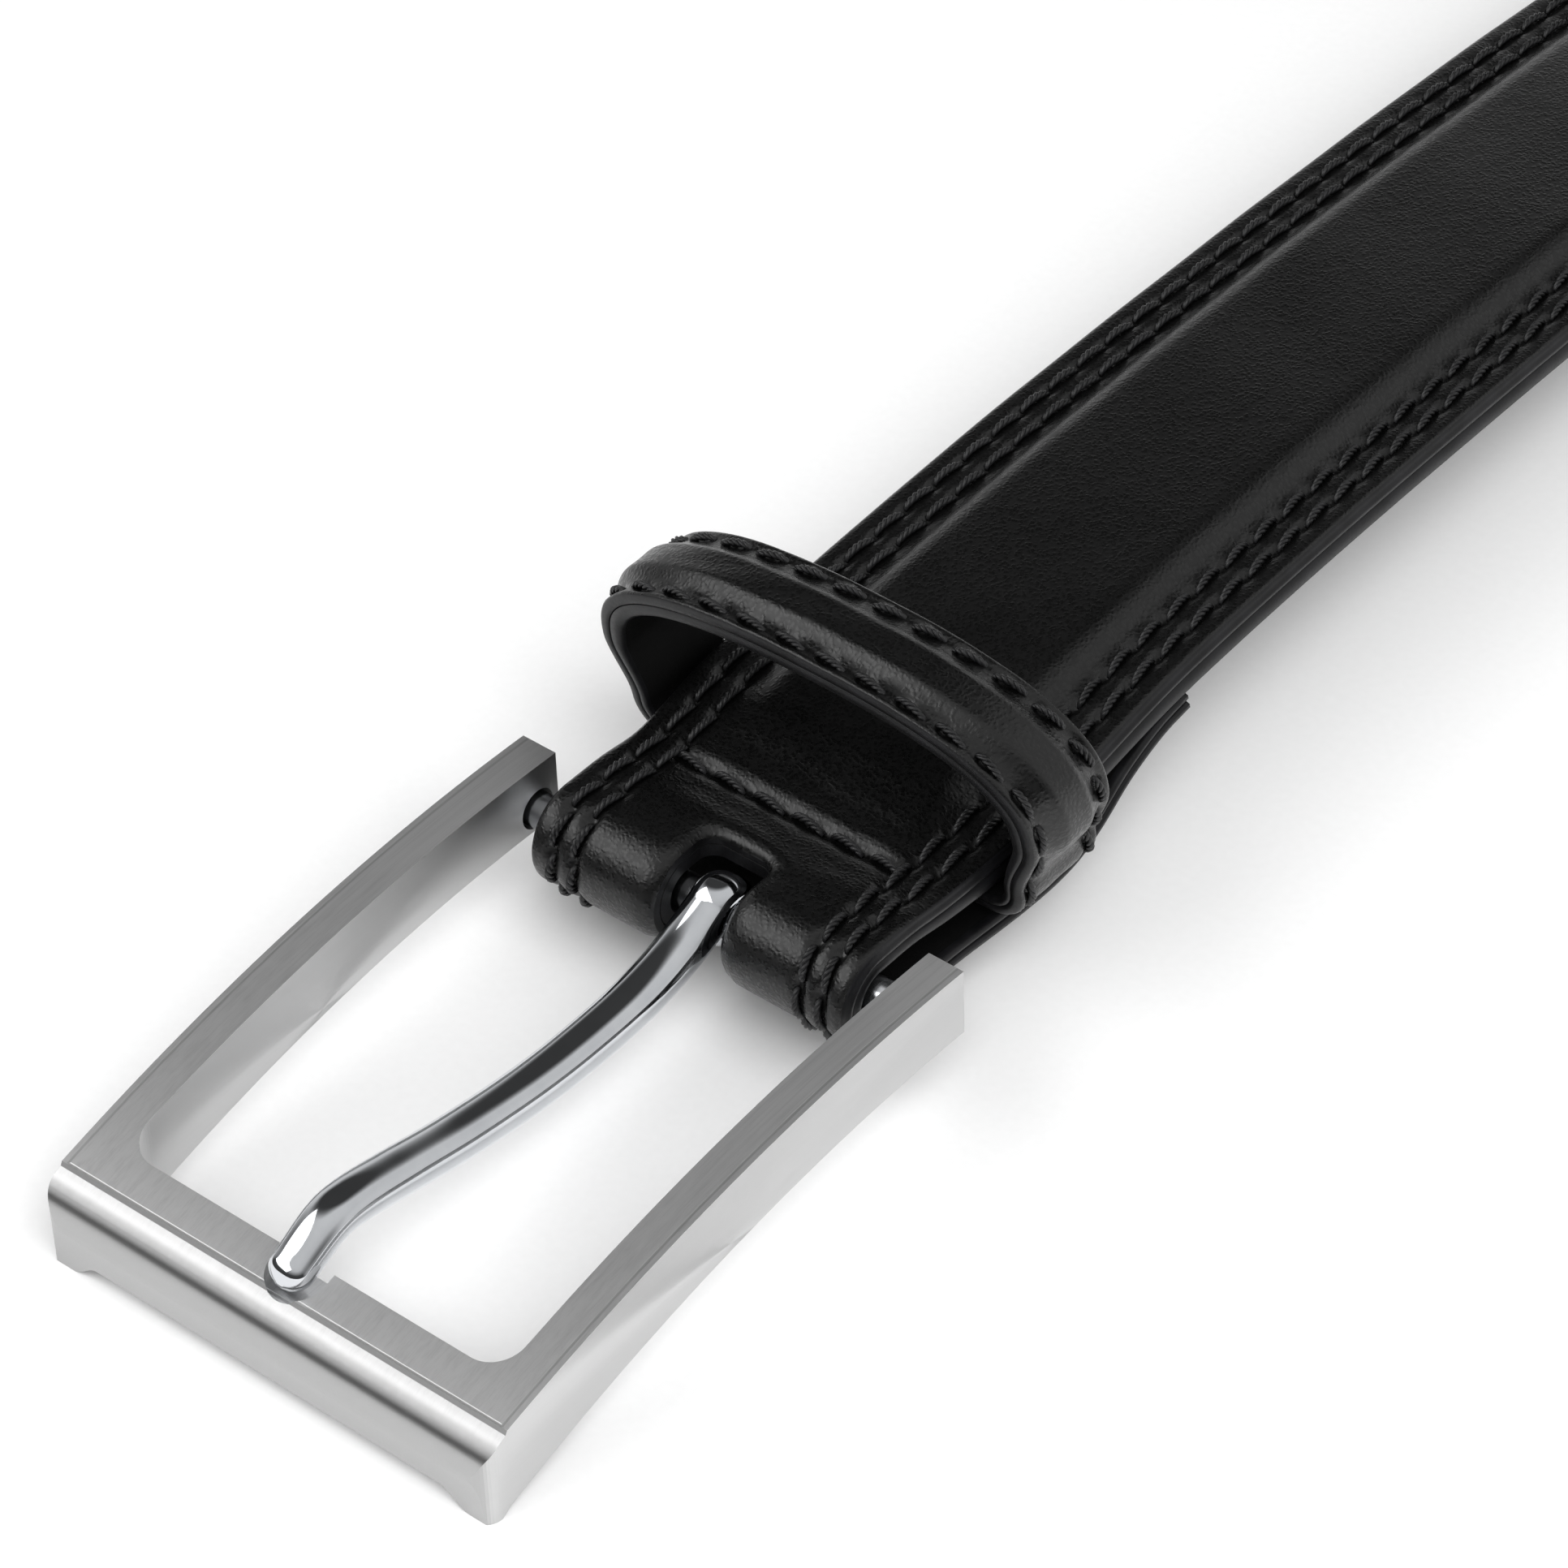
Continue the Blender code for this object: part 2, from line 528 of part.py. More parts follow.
clear_scene()
CUTTER = make_material("cutter_guide", (0.5, 0.5, 0.5), 0.5, 0.0)
BLACK_CALF = make_material("black_calf", (0.012, 0.012, 0.013), 0.38, 0.0)
LINING = make_material("lining_leather", (0.02, 0.019, 0.019), 0.7, 0.0)
FILLER = make_material("filler_board", (0.16, 0.12, 0.08), 0.85, 0.0)
THREAD = make_material("black_thread", (0.02, 0.02, 0.022), 0.6, 0.0)
BRUSHED_METAL = make_material("brushed_nickel", (0.62, 0.62, 0.61), 0.32, 1.0)
PLATED_METAL = make_material("plated_bar", (0.6, 0.6, 0.6), 0.25, 1.0)
POLISHED_METAL = make_material("polished_chrome", (0.72, 0.73, 0.74), 0.08, 1.0)
BAR_PIVOT = (0.0, BAR_Y, BAR_Z)
KEEPER_PIVOT = (0.0, KEEPER_FRONT_Y + KEEPER_WIDTH / 2.0, KEEPER_STRAP_Z)

strap_route = StrapRoute()
grain = build_grain(strap_route)
lining = build_lining(strap_route)
filler = build_filler(strap_route)
slot = slot_cutter()
holes = hole_cutters(strap_route)
for layer in (grain, lining):
    cut(layer, slot, "prong_slot")
for layer in (grain, lining, filler):
    cut(layer, holes, "adjustment_holes")
for row_name, row_share in (("thread_left_outer", -OUTER_ROW), ("thread_left_inner", -INNER_ROW),
                            ("thread_right_inner", INNER_ROW), ("thread_right_outer", OUTER_ROW)):
    build_side_thread(strap_route, row_name, row_share)
build_cross_thread()
build_keeper()
build_frame()
build_heel_bar()
build_prong()
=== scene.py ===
"""Visual layer of a gentleman's leather dress belt, ridden on its CAD frame.

Shapes are worked out in millimetres in the belt's own side view: y = 0 is the front edge of
the buckle's window, +y runs along the strap, z = 0 is the surface the belt lies on.  One
shift along y puts them on the CAD frame, and meshes are made in metres.
"""

import logging
import math
from dataclasses import dataclass
from enum import Enum
from typing import Any, Callable, Optional, Sequence

import bpy
import numpy as np
from mathutils import Matrix, Vector


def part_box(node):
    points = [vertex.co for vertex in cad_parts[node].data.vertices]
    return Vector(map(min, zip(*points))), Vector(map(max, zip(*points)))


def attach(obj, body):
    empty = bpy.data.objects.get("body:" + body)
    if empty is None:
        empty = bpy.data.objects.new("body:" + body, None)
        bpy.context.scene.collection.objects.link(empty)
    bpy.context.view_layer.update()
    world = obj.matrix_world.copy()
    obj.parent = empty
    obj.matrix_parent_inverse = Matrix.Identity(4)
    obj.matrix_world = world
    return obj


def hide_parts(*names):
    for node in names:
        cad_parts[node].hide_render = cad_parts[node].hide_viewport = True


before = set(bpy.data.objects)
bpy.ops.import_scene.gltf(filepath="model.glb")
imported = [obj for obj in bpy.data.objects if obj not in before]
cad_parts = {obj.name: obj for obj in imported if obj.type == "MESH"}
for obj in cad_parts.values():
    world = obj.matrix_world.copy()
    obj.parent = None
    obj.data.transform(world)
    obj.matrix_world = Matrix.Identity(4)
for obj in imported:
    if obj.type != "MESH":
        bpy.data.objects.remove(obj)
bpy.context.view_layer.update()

LOG = logging.getLogger("belt")
MM = 0.001
FRONT_Y = -6.3  # the front bar's foremost line
SHIFT_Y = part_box("buckle_frame")[0].y / MM - FRONT_Y
BAR_Y, BAR_Z = 49.6, 9.3  # axis of the heel bar


class Body(str, Enum):
    """Rigid bodies of the CAD frame."""

    STRAP = "strap"
    BUCKLE = "buckle"
    PRONG = "prong"
    KEEPER = "keeper"


# --- finishes ------------------------------------------------------------------------------


def srgb(code: str) -> tuple[float, float, float, float]:
    """Turn an sRGB hex colour into linear RGBA.

    Args:
        code: six hex digits with a leading hash.

    Returns:
        Linear red, green, blue and an alpha of 1.
    """
    parts = [int(code[i : i + 2], 16) / 255.0 for i in (1, 3, 5)]
    linear = [c / 12.92 if c <= 0.04045 else ((c + 0.055) / 1.055) ** 2.4 for c in parts]
    return (linear[0], linear[1], linear[2], 1.0)


class Nodes:
    """A small builder for shader nodes in any tree."""

    def __init__(self, tree: bpy.types.NodeTree) -> None:
        """Keep the node tree."""
        self.tree = tree

    def add(self, kind: str, settings: Optional[dict[str, Any]] = None,
            **inputs: Any) -> bpy.types.Node:
        """Add one node.

        Args:
            kind: node type without the ShaderNode prefix.
            settings: properties to set on the node.
            inputs: values or sockets by input name, with spaces as underscores.

        Returns:
            The new node.
        """
        node = self.tree.nodes.new("ShaderNode" + kind)
        for key, value in (settings or {}).items():
            setattr(node, key, value)
        for key, value in inputs.items():
            self.feed(self.socket(node, key), value)
        return node

    @staticmethod
    def socket(node: bpy.types.Node, key: str) -> bpy.types.NodeSocket:
        """Find a node's enabled input by name, or by position as _0, _1 and so on."""
        if key.startswith("_"):
            return node.inputs[int(key[1:])]
        name = key.replace("_", " ")
        return next(s for s in node.inputs if s.name == name and s.enabled)

    def feed(self, socket: bpy.types.NodeSocket, value: Any) -> None:
        """Link a socket into an input, or set its value."""
        if isinstance(value, bpy.types.NodeSocket):
            self.tree.links.new(value, socket)
        else:
            socket.default_value = value

    def math(self, operation: str, *values: Any, clamp: bool = False) -> bpy.types.NodeSocket:
        """Add a math node and return its result socket."""
        settings = {"operation": operation, "use_clamp": clamp}
        inputs = {f"_{i}": value for i, value in enumerate(values)}
        return self.add("Math", settings, **inputs).outputs[0]

    def ramp(self, value: Any, low: float, high: float, start: float = 0.0,
             end: float = 1.0) -> bpy.types.NodeSocket:
        """Map a value smoothly from low..high to start..end, clamped."""
        return self.add(
            "MapRange", {"interpolation_type": "SMOOTHSTEP"}, Value=value, From_Min=low,
            From_Max=high, To_Min=start, To_Max=end,
        ).outputs[0]

    def mix(self, factor: Any, first: Any, second: Any) -> bpy.types.NodeSocket:
        """Mix two colours and return the colour socket."""
        inputs = {"_0": factor, "_6": first, "_7": second}
        return self.add("Mix", {"data_type": "RGBA"}, **inputs).outputs[2]


class Graph(Nodes):
    """One material's nodes, ending in its Principled shader."""

    def __init__(self, name: str) -> None:
        """Make the material, called name, and keep its Principled shader."""
        self.material = bpy.data.materials.new(name)
        self.material.use_nodes = True
        super().__init__(self.material.node_tree)
        self.shader = self.tree.nodes["Principled BSDF"]

    def coords(self, scale: Sequence[float] = (1.0, 1.0, 1.0),
               uv: bool = False) -> bpy.types.NodeSocket:
        """Coordinates in millimetres from the object or its own UV map, scaled per axis."""
        source = self.add("TexCoord").outputs["UV" if uv else "Object"]
        factor = 1.0 if uv else 1.0 / MM
        sizes = [factor * part for part in scale]
        return self.add("Mapping", Vector=source, Scale=sizes).outputs[0]

    def noise(self, vector: Any, scale: float, detail: float = 2.0,
              roughness: float = 0.5) -> bpy.types.NodeSocket:
        """A noise texture's value; scale is in features per millimetre."""
        inputs = {"Vector": vector, "Scale": scale, "Detail": detail, "Roughness": roughness}
        return self.add("TexNoise", **inputs).outputs[0]

    def bump(self, height: Any, distance_mm: float, strength: float = 1.0,
             normal: Any = None) -> bpy.types.NodeSocket:
        """Bump from a height value whose full step is distance_mm deep."""
        inputs = {"Height": height, "Distance": distance_mm * MM, "Strength": strength}
        if normal is not None:
            inputs["Normal"] = normal
        return self.add("Bump", **inputs).outputs[0]

    def finish(self, **inputs: Any) -> bpy.types.Material:
        """Feed the Principled shader and return the material."""
        for key, value in inputs.items():
            self.feed(self.socket(self.shader, key), value)
        return self.material


@dataclass(frozen=True)
class GrainLeather:
    """Plated calf leather: fine pebbles with darker valleys and soft, broken highlights."""

    name: str = "black_calf"
    dark: str = "#030303"
    light: str = "#080808"
    pebble_per_mm: float = 2.7
    relief_mm: float = 0.045
    roughness: float = 0.25

    def build(self) -> bpy.types.Material:
        """Make the material."""
        g = Graph(self.name)
        uv = g.coords(uv=True)
        # Pebbles: rounded cells, pushed about so that no two have the same outline.
        push = g.add("TexNoise", Vector=uv, Scale=0.9, Detail=2.0).outputs["Color"]
        warp = g.add("VectorMath", {"operation": "SCALE"}, Vector=push, Scale=0.7)
        moved = g.add("VectorMath", {"operation": "ADD"}, _0=uv, _1=warp.outputs[0])
        cells = g.add(
            "TexVoronoi", {"feature": "SMOOTH_F1"}, Vector=moved.outputs[0],
            Scale=self.pebble_per_mm, Smoothness=0.35,
        ).outputs["Distance"]
        pebble = g.ramp(cells, 0.15, 0.75, 1.0, 0.0)
        small = g.noise(uv, 4.0, 3.0, 0.6)
        patch = g.noise(uv, 0.12, 3.0, 0.6)
        height = g.math("MULTIPLY_ADD", pebble, 0.75, g.math("MULTIPLY", small, 0.45))
        # Slow unevenness of the hide under the grain breaks the highlights up.
        soft = g.noise(uv, 0.45, 2.0)
        first = g.bump(soft, 0.10, 0.35)
        normal = g.bump(height, self.relief_mm, 0.55, first)
        # Handled patches are shinier, valleys between pebbles duller.
        shine = g.math("MULTIPLY_ADD", patch, 0.16, self.roughness - 0.08)
        rough = g.math("MULTIPLY_ADD", g.math("SUBTRACT", 1.0, pebble), 0.14, shine)
        colour = g.mix(g.math("MULTIPLY", pebble, patch), srgb(self.dark), srgb(self.light))
        return g.finish(
            Base_Color=colour, Roughness=rough, Normal=normal, Specular_IOR_Level=0.52
        )


@dataclass(frozen=True)
class EdgePaint:
    """Edge paint brushed over cut leather: thick, black and softly uneven."""

    name: str = "painted_edge"
    dark: str = "#0a0a0b"
    light: str = "#141416"
    roughness: float = 0.42

    def build(self) -> bpy.types.Material:
        """Make the material."""
        g = Graph(self.name)
        place = g.coords()
        drift = g.noise(place, 0.35, 2.0)
        fine = g.noise(place, 4.0, 3.0, 0.6)
        normal = g.bump(fine, 0.03, 0.4, g.bump(drift, 0.15, 0.35))
        colour = g.mix(g.ramp(drift, 0.3, 0.7), srgb(self.dark), srgb(self.light))
        rough = g.math("MULTIPLY_ADD", fine, 0.2, self.roughness - 0.1)
        return g.finish(
            Base_Color=colour, Roughness=rough, Normal=normal, Specular_IOR_Level=0.35
        )


@dataclass(frozen=True)
class LiningLeather:
    """Split lining leather: matt black with a short nap."""

    name: str = "lining_leather"
    dark: str = "#080808"
    light: str = "#121212"

    def build(self) -> bpy.types.Material:
        """Make the material."""
        g = Graph(self.name)
        uv = g.coords(uv=True)
        nap = g.noise(uv, 3.2, 4.0, 0.65)
        patch = g.noise(uv, 0.2, 2.0)
        normal = g.bump(nap, 0.08, 0.5)
        colour = g.mix(g.math("MULTIPLY", nap, patch), srgb(self.dark), srgb(self.light))
        rough = g.math("MULTIPLY_ADD", nap, 0.2, 0.55)
        return g.finish(
            Base_Color=colour, Roughness=rough, Normal=normal, Specular_IOR_Level=0.25
        )


@dataclass(frozen=True)
class WaxedThread:
    """Waxed polyester thread: fine fibres along its strands, a slight gleam on top."""

    name: str = "black_thread"
    dark: str = "#060606"
    light: str = "#2c2c2e"

    def build(self) -> bpy.types.Material:
        """Make the material."""
        g = Graph(self.name)
        fibre = g.noise(g.coords((1.0, 9.0, 1.0), uv=True), 2.0, 3.0, 0.6)
        wear = g.noise(g.coords(), 0.5, 2.0)
        normal = g.bump(fibre, 0.04, 0.6)
        colour = g.mix(g.math("MULTIPLY", fibre, wear), srgb(self.dark), srgb(self.light))
        rough = g.math("MULTIPLY_ADD", fibre, 0.25, 0.26)
        return g.finish(
            Base_Color=colour, Roughness=rough, Normal=normal, Specular_IOR_Level=0.55
        )


@dataclass(frozen=True)
class BrushedNickel:
    """Nickel plate, brushed round the bar: fine lines on top, an even satin on the sides, with the
    top faces painted lighter and the others painted darker as light and shade.
    """

    name: str = "brushed_nickel"
    # Face tones: the light one on faces looking up, the dark one on faces turned away, the arms'
    # sides between, as painted light and shade.
    dark: str = "#bcbcbc"
    light: str = "#f8f8f8"
    # Place of the crease line, a fine groove that is also painted darker as shade.
    shaded_crease_x_mm: float = 22.42
    shaded_crease_y_mm: float = -3.3

    def build(self) -> bpy.types.Material:
        """Make the material, with a fine crease round the outer edge of the top face, painted
        darker as shade.
        """
        g = Graph(self.name)
        place = g.coords()
        split = g.add("SeparateXYZ", Vector=place)
        facing = g.add("SeparateXYZ", Vector=g.add("TexCoord").outputs["Normal"])
        # Where the face looks: brushed lines belong on top, satin on the arms' sides. The same
        # masks paint the top lighter and the other faces darker, as painted light and shade.
        upward = g.ramp(facing.outputs[2], 0.80, 0.95)
        side = g.ramp(g.math("ABSOLUTE", facing.outputs[0]), 0.6, 0.95)
        lines = g.noise(g.coords((1.0, 0.008, 0.6)), 7.5, 3.0, 0.65)
        long_lines = g.noise(g.coords((1.0, 0.006, 0.4)), 2.6, 2.0, 0.5)
        grit = g.noise(place, 7.0, 2.0, 0.6)
        streak = g.math("MULTIPLY_ADD", long_lines, 0.5, g.math("MULTIPLY", lines, 0.6))
        brushed = g.math("SUBTRACT", 1.0, side)
        # The crease, a fine groove with painted shade along it: one line down each arm, one along
        # the front bar, met at the corners.
        local_y = g.math("SUBTRACT", split.outputs[1], SHIFT_Y)
        edge_x = g.math("SUBTRACT", g.math("ABSOLUTE", split.outputs[0]), self.shaded_crease_x_mm)
        edge_y = g.math("SUBTRACT", local_y, self.shaded_crease_y_mm)
        behind = g.ramp(local_y, self.shaded_crease_y_mm - 0.05, self.shaded_crease_y_mm + 0.05)
        line_x = g.ramp(g.math("ABSOLUTE", edge_x), 0.06, 0.16, 1.0, 0.0)
        line_x = g.math("MULTIPLY", line_x, behind)
        line_y = g.ramp(g.math("ABSOLUTE", edge_y), 0.06, 0.18, 1.0, 0.0)
        inside = g.ramp(edge_x, -0.02, 0.06, 1.0, 0.0)
        crease_and_shade = g.math("MAXIMUM", line_x, g.math("MULTIPLY", line_y, inside), clamp=True)
        crease_and_shade = g.math("MULTIPLY", crease_and_shade, g.ramp(facing.outputs[2], 0.5, 0.75))
        height = g.math("ADD", g.math("MULTIPLY", streak, g.math("MULTIPLY", brushed, upward)),
                        g.math("MULTIPLY", g.math("MULTIPLY", grit, side), 0.35))
        normal = g.bump(g.math("SUBTRACT", 1.0, crease_and_shade), 0.05, 0.3, g.bump(height, 0.014, 0.7))
        # Painted light and shade: faces looking up take the light tone, varying streak by streak,
        # the arms' sides sit midway, and all other faces take the dark tone.
        shade = g.math("MULTIPLY", g.ramp(streak, 0.2, 0.7, 0.7, 1.0), upward)
        shade = g.math("MULTIPLY_ADD", side, 0.55, shade)
        tone = g.mix(shade, srgb(self.dark), srgb(self.light))
        # Painted shade: along the crease the colour is darkened towards grey.
        colour = g.mix(g.math("MULTIPLY", crease_and_shade, 0.25), tone, srgb("#5a5a5a"))
        satin = g.math("MULTIPLY_ADD", side, 0.08, 0.35)
        rough = g.math("MULTIPLY_ADD", lines, 0.14, satin)
        # Brushing runs round the bar, so its glints spread along the belt.
        round_bar = g.add("Tangent", {"direction_type": "RADIAL", "axis": "X"}).outputs[0]
        return g.finish(
            Base_Color=colour, Roughness=rough, Normal=normal, Metallic=1.0,
            Anisotropic=0.94, Anisotropic_Rotation=0.25, Tangent=round_bar,
        )


@dataclass(frozen=True)
class PolishedMetal:
    """Polished plating: a mirror with faint polishing lines and smudges."""

    name: str
    tint: str = "#dfe1e4"
    roughness: float = 0.045

    def build(self) -> bpy.types.Material:
        """Make the material."""
        g = Graph(self.name)
        lines = g.noise(g.coords((1.0, 0.05, 1.0)), 4.0, 2.0)
        smudge = g.noise(g.coords(), 0.3, 3.0, 0.6)
        rough = g.math("MULTIPLY_ADD", smudge, 0.05, self.roughness)
        colour = g.mix(smudge, srgb(self.tint), srgb("#c9ccd0"))
        return g.finish(
            Base_Color=colour, Roughness=rough, Normal=g.bump(lines, 0.002, 0.35), Metallic=1.0
        )


@dataclass(frozen=True)
class StudioPaper:
    """Pale matt paper the belt lies on."""

    name: str = "studio_paper"
    tone: str = "#f8f8f8"

    def build(self) -> bpy.types.Material:
        """Make the material."""
        g = Graph(self.name)
        tooth = g.noise(g.coords(), 1.2, 3.0)
        colour = g.mix(tooth, srgb(self.tone), srgb("#f3f3f3"))
        return g.finish(Base_Color=colour, Roughness=0.9, Normal=g.bump(tooth, 0.02, 0.2))


# --- mesh making ---------------------------------------------------------------------------


def smoothstep(value: np.ndarray, low: float, high: float) -> np.ndarray:
    """Smooth rise from 0 at low to 1 at high."""
    t = np.clip((np.asarray(value, dtype=float) - low) / (high - low), 0.0, 1.0)
    return t * t * (3.0 - 2.0 * t)


def bell(value: np.ndarray, width: float) -> np.ndarray:
    """A smooth bump of height 1 and the given half width."""
    return np.exp(-((np.asarray(value) / width) ** 2))


def enlist(name: str, data: Any) -> bpy.types.Object:
    """Put an object with the given data into the scene."""
    item = bpy.data.objects.new(name, data)
    bpy.context.scene.collection.objects.link(item)
    return item


def placed(points: np.ndarray) -> np.ndarray:
    """Turn the belt's own millimetres into metres on the CAD frame, N x 3."""
    return (np.asarray(points, dtype=float).reshape(-1, 3) + (0.0, SHIFT_Y, 0.0)) * MM


def rounded_edge(inside: np.ndarray, radius: float) -> np.ndarray:
    """Drop of a quarter-round edge at a distance inside it."""
    near = 1.0 - np.clip(inside / radius, 0.0, 1.0)
    return radius * (1.0 - np.sqrt(np.clip(1.0 - near**2, 0.0, 1.0)))


def superellipse(angle: np.ndarray, exponent: float) -> tuple[np.ndarray, np.ndarray]:
    """Cosine and sine of a rounded-square ring of half size 1."""
    c, s = np.cos(angle), np.sin(angle)
    power = 2.0 / exponent
    return np.sign(c) * np.abs(c) ** power, np.sign(s) * np.abs(s) ** power


class Piece:
    """One visible mesh object, made from points in millimetres."""

    def __init__(self, name: str, body: Body, nodes: Sequence[str], slot: str) -> None:
        """Remember what the piece stands for.

        Args:
            name: object name.
            body: CAD body it rides on.
            nodes: CAD nodes it replaces.
            slot: the record's material slot; stored but never read.
        """
        self.name, self.body, self.nodes, self.slot = name, body, nodes, slot
        self.object: Optional[bpy.types.Object] = None

    def mesh(
        self,
        points: np.ndarray,
        quads: np.ndarray,
        materials: Sequence[bpy.types.Material],
        uv: Optional[np.ndarray] = None,
        material_index: Optional[np.ndarray] = None,
        caps: Sequence[Sequence[int]] = (),
    ) -> bpy.types.Object:
        """Build the object.

        Args:
            points: any array of points with a last axis of 3, in millimetres.
            quads: M x 4 point indices.
            materials: materials in slot order.
            uv: N x 2 in millimetres, one pair for each point.
            material_index: slot of each quad.
            caps: extra faces with any number of corners.

        Returns:
            The object, in place and not yet riding.
        """
        data = bpy.data.meshes.new(self.name)
        moved = placed(points)
        quads = np.asarray(quads, dtype=np.int32).reshape(-1, 4)
        loops = np.concatenate([quads.ravel(), *[np.array(c, dtype=np.int32) for c in caps]])
        sizes = np.concatenate([np.full(len(quads), 4), [len(c) for c in caps]]).astype(np.int32)
        data.vertices.add(len(moved))
        data.vertices.foreach_set("co", moved.astype(np.float32).ravel())
        data.loops.add(len(loops))
        data.loops.foreach_set("vertex_index", loops)
        data.polygons.add(len(sizes))
        starts = np.concatenate([[0], np.cumsum(sizes)[:-1]]).astype(np.int32)
        data.polygons.foreach_set("loop_start", starts)
        data.polygons.foreach_set("use_smooth", np.ones(len(sizes), dtype=bool))
        for material in materials:
            data.materials.append(material)
        if material_index is not None:
            slots = np.concatenate([material_index, np.zeros(len(caps))]).astype(np.int32)
            data.polygons.foreach_set("material_index", slots)
        if uv is not None:
            layer = data.uv_layers.new(name="surface_mm")
            layer.data.foreach_set("uv", np.asarray(uv, dtype=np.float32)[loops].ravel())
        data.update()
        data.validate()
        self.object = enlist(self.name, data)
        return self.object

    def settle(self) -> bpy.types.Object:
        """Ride the piece on its body and hide the CAD nodes it stands for.

        Returns:
            The object.
        """
        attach(self.object, self.body.value)
        if self.nodes:
            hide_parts(*self.nodes)
        LOG.info("%s: %d faces", self.name, len(self.object.data.polygons))
        return self.object


def grid_quads(rows: int, columns: int, wrap_rows: bool = False) -> np.ndarray:
    """Quads of a grid of points numbered row by row, each row a closed ring.

    Args:
        rows: number of rows.
        columns: number of points in a row.
        wrap_rows: join the last row to the first.

    Returns:
        M x 4 indices; they face outwards when rows run along the axis of a ring whose
        points go anticlockwise as seen looking back along that axis.
    """
    last = rows if wrap_rows else rows - 1
    i, j = np.meshgrid(np.arange(last), np.arange(columns), indexing="ij")
    after_i, after_j = (i + 1) % rows, (j + 1) % columns
    near, far = i * columns, after_i * columns
    return np.stack((near + j, near + after_j, far + after_j, far + j), axis=-1).reshape(-1, 4)


def painted_slots(shape: tuple[int, int], painted: Sequence[slice]) -> np.ndarray:
    """Material slot of every quad: 1 in the painted columns of each row, else 0."""
    index = np.zeros(shape, dtype=np.int32)
    for columns in painted:
        index[:, columns] = 1
    return index.ravel()


def tube_caps(rows: int, columns: int) -> list[list[int]]:
    """End faces of an open tube made by grid_quads."""
    last = (rows - 1) * columns
    return [list(reversed(range(columns))), [last + k for k in range(columns)]]


def solid_prism(name: str, outline: Sequence[Sequence[float]], axis: str, low: float, high: float,
                material: bpy.types.Material) -> bpy.types.Object:
    """A guide solid: a flat outline pushed along one axis.

    Args:
        name: object name.
        outline: pairs of millimetres, (y, z) for axis x, (x, z) for y, (x, y) for z.
        axis: x, y or z.
        low: start along the axis.
        high: end along the axis.
        material: material of its walls.

    Returns:
        The solid, to cut with.
    """
    place = {"x": (1, 2, 0), "y": (0, 2, 1), "z": (0, 1, 2)}[axis]
    ring = np.zeros((2, len(outline), 3))
    ring[:, :, place[0]] = [p[0] for p in outline]
    ring[:, :, place[1]] = [p[1] for p in outline]
    ring[0, :, place[2]], ring[1, :, place[2]] = low, high
    return guide_solid(name, ring, material)


def guide_solid(name: str, rings: np.ndarray, material: bpy.types.Material) -> bpy.types.Object:
    """A guide solid between two rings of points, faces outwards.

    Args:
        name: object name.
        rings: 2 x N x 3 points in millimetres.
        material: material of its walls.

    Returns:
        The solid, to cut with.
    """
    data = bpy.data.meshes.new(name)
    count = rings.shape[1]
    faces = grid_quads(2, count).tolist() + tube_caps(2, count)
    data.from_pydata(placed(rings).tolist(), [], faces)
    data.materials.append(material)
    face_outwards(data)
    return enlist(name, data)


def face_outwards(data: bpy.types.Mesh) -> None:
    """Flip a closed mesh whose enclosed volume counts as negative."""
    data.calc_loop_triangles()
    points = np.zeros(len(data.vertices) * 3)
    data.vertices.foreach_get("co", points)
    corners = np.zeros(len(data.loop_triangles) * 3, dtype=np.int32)
    data.loop_triangles.foreach_get("vertices", corners)
    a, b, c = points.reshape(-1, 3)[corners].reshape(-1, 3, 3).transpose(1, 0, 2)
    if np.einsum("ij,ij->i", a, np.cross(b, c)).sum() < 0.0:
        data.flip_normals()


def carve(target: bpy.types.Object, cutter: bpy.types.Object,
          operation: str = "DIFFERENCE") -> None:
    """Cut a guide solid away, join it or keep only what it covers.

    Args:
        target: object to change.
        cutter: guide solid.
        operation: DIFFERENCE, UNION or INTERSECT.
    """
    modifier = target.modifiers.new(cutter.name, "BOOLEAN")
    modifier.operation, modifier.solver, modifier.object = operation, "EXACT", cutter
    modifier.material_mode = "TRANSFER"


def apply_modifiers(item: bpy.types.Object, guides: Sequence[bpy.types.Object]) -> None:
    """Make the modified shape the mesh itself and remove the guide solids.

    Args:
        item: object with modifiers.
        guides: guide solids to remove.
    """
    graph = bpy.context.evaluated_depsgraph_get()
    made = bpy.data.meshes.new_from_object(item.evaluated_get(graph))
    item.modifiers.clear()
    item.data = made
    for guide in guides:
        bpy.data.objects.remove(guide, do_unlink=True)


def arc(cx: float, cy: float, radius: float, start: float, end: float, steps: int) -> np.ndarray:
    """Points of a circular arc, angles in degrees."""
    angles = np.radians(np.linspace(start, end, steps + 1))
    return np.column_stack((cx + radius * np.cos(angles), cy + radius * np.sin(angles)))


def distances(line: np.ndarray) -> np.ndarray:
    """Distance along a line at each of its points."""
    return np.concatenate(([0.0], np.cumsum(np.linalg.norm(np.diff(line, axis=0), axis=1))))


def hermite(knots: Sequence[Sequence[float]], steps: int) -> np.ndarray:
    """A smooth line through knots: cubic Hermite pieces with central-difference tangents.

    Args:
        knots: points of the line.
        steps: points made for each stretch between knots.

    Returns:
        The points of the line.
    """
    k = np.array(knots, dtype=float)
    m = np.gradient(k, axis=0)
    t = np.linspace(0.0, 1.0, steps, endpoint=False)[None, :, None]
    a, b, ma, mb = k[:-1, None], k[1:, None], m[:-1, None], m[1:, None]
    line = ((2 * t**3 - 3 * t**2 + 1) * a + (t**3 - 2 * t**2 + t) * ma
            + (3 * t**2 - 2 * t**3) * b + (t**3 - t**2) * mb)
    return np.concatenate((line.reshape(-1, k.shape[1]), k[-1:]))


# --- strap ----------------------------------------------------------------------------------


